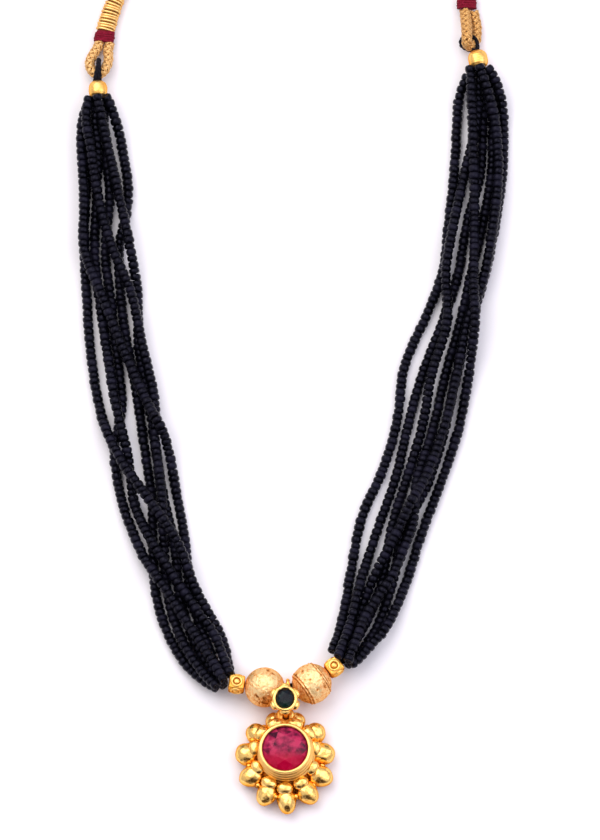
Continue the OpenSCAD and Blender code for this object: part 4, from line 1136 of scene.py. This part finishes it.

# %% [markdown]
# ### Plate, collar and eyelet
# The collar is turned from one section: a foot, three rounded steps with painted shade in the
# grooves between them, the rim over the stone and the cup behind it. It was set a little askew,
# so its lower rows stand up to 0.3 mm to the right and 0.2 mm to the front.

# %% Plate, collar and eyelet
# The collar's section: how far out from its inner rim, the height, and the age there, which
# holds painted shade in the grooves, on the foot and in the cup, and painted light on the crests.
COLLAR_ROWS = [[0.62, 0.5, 0.6], [0.6, 4.0, 0.6], [0.7, 4.1, 0.0], [0.72, 4.35, -0.2],
    [0.66, 4.62, -0.3], [0.55, 4.8, -0.2], [0.38, 4.86, 0.8], [0.3, 5.2, 0.8], [0.46, 5.3, 0.0],
    [0.49, 5.5, -0.2], [0.44, 5.74, -0.3], [0.34, 5.9, -0.2], [0.18, 5.94, 0.8], [0.12, 6.26, 0.8],
    [0.28, 6.36, 0.0], [0.31, 6.56, -0.2], [0.26, 6.78, -0.3], [0.16, 6.92, -0.2], [0.0, 6.96, 0.8],
    [-0.06, 7.25, 0.8], [0.08, 7.36, -0.2], [0.08, 7.66, -0.2], [-0.08, 7.88, -0.2],
    [-0.3, 7.94, -0.2], [-0.5, 7.88, 0.1], [-0.68, 7.72, 0.3], [-0.66, 7.6, 0.8], [-0.57, 7.5, 0.9],
    [-0.57, 6.9, 0.9], [-3.8, 3.9, 0.9], [-5.4, 3.7, 0.9], [-5.4, 0.5, 0.9]]
COLLAR_STEPS = 200
# COLLAR_BRIGHTER is taken off every age of the collar: painted light that makes up for the dark
# that the collar reflects.
COLLAR_BRIGHTER = 0.2
ASKEW = 0.08
PLATE = [[0.02, 0], [7.5, 0], [7.5, 0.9], [0.02, 0.9]]
DRUM = [[0.02, 0.3], [7.1, 0.3], [6.6, 3.3], [0.02, 3.3]]
plate = lathe(rounded(PLATE, 1), at=(0, 0, 0), sides=96)
drum = lathe(rounded(DRUM, 1), at=(0, 1.0, 0), sides=96)
rows = np.array(COLLAR_ROWS)
collar = lathe(rows[:, :2] + [COLLAR_R, 0], (0, COLLAR_Y, 0), COLLAR_STEPS)
collar[0][:, :2] += ASKEW * (COLLAR_Z - collar[0][:, 2:]).clip(0, 4) * [1.0, -0.6]
EYELET = np.array([0.2, 9.6, 3.4])
eyelet = lathe(rounded([[0.75, -0.5], [1.9, -0.5], [1.9, 0.5], [0.75, 0.5]]), EYELET, 64)
# Two lumps of solder beside the eyelet, and a flat dark lump under it that paints the shadow
# in the eyelet's hole: steps, size and lumps.
skins += [plate, drum, collar, eyelet] + [
    egg(EYELET + step, (0, 1, 0), size, steps=24, lumps=lumps, seed=seed)
    for step, size, lumps, seed in (([-1.3, 0.1, 0.2], (2.4, 1.5, 1.3), 0.03, 51),
                                    ([1.2, 0.1, 0.2], (2.2, 1.3, 1.3), 0.03, 52),
                                    ([0, -0.1, -2.6], (3.4, 4.4, 1.2), 0.0, 0))]
# The plate and drum under the drops are dark with painted shade, and the flat lump is darkest.
ages_and_shades += [0.6, 0.5, np.repeat(rows[:, 2] - COLLAR_BRIGHTER, COLLAR_STEPS), 0.35, 0.25, 0.25, 0.9]
make_piece("soldered", "pendant_setting", skins, [polished_gold, cast_gold], ages_and_shades,
           len(skins) - eggs)

# %% [markdown]
# ## The flower above the pendant
# A cup of six round lobes holds the dark green stone. It hangs from the thread between the
# balls by one ring, and a second ring under it holds the pendant's eyelet.

# %% Flower setting
FLOWER_Z, CUP_H = 9.3, 2.4
STONE_W, STONE_L = 3.8, 4.2
RIM_OUT, RIM_W, RIM_H = 0.36, 0.84, 1.0
LOBES, LOBE_RX, LOBE_RY = 6, 2.5, 2.6
RING_WIRE = 0.9
LOWER_R = 1.35
BAIL_R, BAIL_WIRE = 1.08, 0.75
flower_at = np.array([0, 12.05, 0])
lower_at = np.array([0.2, 10.925, 3.4])
back = FLOWER_Z - CUP_H


def wire_ring(at, normal, r, wire):
    """Skin of a ring of wire round a place, square to a direction."""
    side, rise = square_to(unit(normal))
    return skin(tube(oval(at, r * side, r * rise, 60), wire, wire, 14, True, normal), True)


def rod(a, b):
    """Skin of a round rod between two points: its width falls to a small share at its ends
    by the root of one less the sixth power of the way from its middle."""
    width = RING_WIRE * np.sqrt(np.clip(1 - np.linspace(-1, 1, 12)**6, 0.15, 1))
    return skin(tube(np.linspace(a, b, 12), width, width, 14, False, (1, 0, 0)))


cup = [[0.02, 0], [1.3, 0], [1.5, 0.1], [2.1, 1.2], [2.3, 1.5], [2.3, 2.0], [2.04, 1.8],
       [1.6, 0.9], [0.02, 0.6]]
rim = oval(flower_at + [0, 0, FLOWER_Z - 0.4], (STONE_W / 2 + RIM_OUT, 0, 0),
           (0, STONE_L / 2 + RIM_OUT, 0), 120)
skins = [lathe(cup, flower_at + [0, 0, back], 96), skin(tube(rim, RIM_W, RIM_H, 14, True), True)]
# The cup under the rim and lobes is dark with painted shade, and the rim and lobes are painted
# darker low down.
ages_and_shades = [0.7, shade_below(skins[1][0], top=FLOWER_Z - 0.3, bottom=FLOWER_Z - 0.9, most=0.7)]
for k in range(LOBES):
    out = heading(30 + 360 / LOBES * k)
    at = flower_at + out * [LOBE_RX, LOBE_RY, 0] + [0, 0, FLOWER_Z - 0.8]
    skins.append(egg(at, out, (1.7, 2.2, 1.4), steps=30, lumps=0.03, seed=60 + k))
    ages_and_shades.append(shade_below(skins[-1][0], top=FLOWER_Z - 0.5, bottom=FLOWER_Z - 1.1, most=0.6))
skins += [wire_ring(lower_at, (1, 0, 0), LOWER_R, RING_WIRE),
          rod(lower_at + [0, 0.4, 1.2], flower_at + [0, -0.4, back + 0.5]),
          wire_ring(bail_at, ball_right_at - ball_left_at, BAIL_R, BAIL_WIRE),
          rod(bail_at + [0, -0.8 * BAIL_R, 0.6 * BAIL_R], flower_at + [0, 0.8, back + 0.4])]
make_piece("soldered", "flower_setting", skins, [polished_gold], ages_and_shades + [0.3] * 4)

# %% [markdown]
# ## The stones
# The stones are faceted glass. Their flat facets are already right in the CAD solids, so
# these stay and only get their finish: coloured glass, worn to a satin on top, that holds
# its colour in its depth and lets a little light through.

# %% Stones
NOISE_MM = 1.3
FACET_SCALE = 9.0


def stone_finish(name, colours, deep, middle_y, rough, clear):
    """Coloured glass. Each facet shows light from another part of the stone's inside, painted here:
    its colour is picked half from a noise by the facet's own normal and half from one by place.
    Light that enters at the far side gathers at the near side, which is painted in the deep colour."""
    material, tree, place = new_finish(name)
    facet = add(tree, "NewGeometry").outputs["True Normal"]
    # Painted light: each facet's colour comes partly from a noise by its normal.
    inside = add(tree, "TexNoise", {"Vector": facet, "Scale": FACET_SCALE, "Detail": 1.0})
    cloud = add(tree, "TexNoise", {"Vector": place, "Scale": 1 / (NOISE_MM * MM), "Detail": 3.0})
    both = add(tree, "Mix", {0: 0.5, 2: inside, 3: cloud}, data_type="FLOAT")
    tint = add(tree, "ValToRGB", {"Fac": both}, colours)
    split = add(tree, "SeparateXYZ", {"Vector": place})
    near = add(tree, "MapRange", {
        "Value": split.outputs["Y"], "From Min": middle_y * MM,
        "From Max": (middle_y - 2 * NOISE_MM) * MM, "To Max": 0.75},
        interpolation_type="SMOOTHSTEP")
    tint = add(tree, "Mix", {0: near, 6: tint, 7: colour(deep)}, data_type="RGBA")
    surface = add(tree, "BsdfPrincipled", {
        "Base Color": tint.outputs[2], "Roughness": rough, "IOR": 1.5,
        "Specular IOR Level": 0.03, "Transmission Weight": clear})
    add(tree, "OutputMaterial", {"Surface": surface})
    return material


# Ruby-red glass: dull purple facets above, and below them crimson, where the painted light gathers.
red_glass = stone_finish(
    "red_faceted_glass", [(0.4, "#400828"), (0.48, "#921846"), (0.58, "#cf3262")],
    deep="#cc0038", middle_y=COLLAR_Y, rough=0.14, clear=0.28)
# Green glass, nearly black.
green_glass = stone_finish(
    "dark_green_faceted_glass", [(0.4, "#0a0a1a"), (0.52, "#101a26"), (0.62, "#0e2626")],
    deep="#08301e", middle_y=12.3, rough=0.18, clear=0.3)
for name, finish in (("red_stone", red_glass), ("green_stone", green_glass)):
    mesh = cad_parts[name].data
    mesh.materials.clear()
    mesh.materials.append(finish)
print("two stones finished")

# %% [markdown]
# ## The table
# The necklace lies on white paper, 3 m wide, so that its edge is far away in a low view. It
# lies 0.1 mm lower than the surface that the CAD stands on, so the two never share a plane.

# %% Table
TABLE_HALF = 1500.0
TABLE_Z = -0.1
x = np.linspace(-TABLE_HALF, TABLE_HALF, 3)
corners = np.array([[a, b, TABLE_Z] for b in x for a in x])
cells = [[r + c, r + c + 1, r + c + 4, r + c + 3] for r in (0, 3) for c in (0, 1)]
paper, tree, _ = new_finish("white_paper_table")
surface = add(tree, "BsdfPrincipled", {"Base Color": colour("#f2f0f7"), "Roughness": 0.9})
add(tree, "OutputMaterial", {"Surface": surface})
mesh = bpy.data.meshes.new("table")
mesh.from_pydata((corners * MM).tolist(), [], cells)
mesh.materials.append(paper)
in_scene("table", mesh)

# %% [markdown]
# ## Light and surroundings
# Metal shows what stands round it. The table is white, and so is most of the room, but one
# warm dark patch stands in front and low, where the photographer is: it draws the brown
# reflection at the near side of every drop. Two large soft lamps give the gentle shadows.

# %% Light
world = bpy.data.worlds.new("pale_room")
bpy.context.scene.world = world
world.use_nodes = True
tree = world.node_tree
tree.nodes.clear()
toward = add(tree, "TexCoord").outputs["Generated"]
height = add(tree, "SeparateXYZ", {"Vector": toward}).outputs["Z"]
room = add(tree, "ValToRGB", {"Fac": height},
           [(0.0, "#b6aeb4"), (0.35, "#d8d3d8"), (0.75, "#f8f7fb")])
near = add(tree, "VectorMath", {0: toward, 1: (0.0, -0.94, 0.34)}, operation="DOT_PRODUCT")
patch = add(tree, "MapRange", {"Value": near.outputs["Value"], "From Min": 0.74,
                               "From Max": 0.9}, interpolation_type="SMOOTHSTEP")
mixed = add(tree, "Mix", {0: patch, 6: room, 7: colour("#3a2412")}, data_type="RGBA")
glow = add(tree, "Background", {"Color": mixed.outputs[2], "Strength": 1.0})
add(tree, "OutputWorld", {"Surface": glow})


def lamp(name, at, size, watts, text):
    """A square soft light, its place and size in metres. It is tipped by the angle between
    straight down and the way to the necklace, and turned by that way's angle on the table."""
    data = bpy.data.lights.new(name, "AREA")
    data.size = size
    data.energy = watts
    data.color = colour(text)[:3]
    light = in_scene(name, data)
    light.location = at
    d = unit(np.array([0, 0.08, 0]) - at)
    light.rotation_euler = (math.acos(-d[2]), 0, math.atan2(d[0], -d[1]) + math.pi)


lamp("key", (-0.35, 0.45, 0.8), 0.9, 6.2, "#fffaf2")
lamp("fill", (0.6, 0.1, 0.7), 0.8, 3.2, "#f4f3ff")
bpy.context.scene.view_settings.view_transform = "Standard"
print("room, key and fill light")
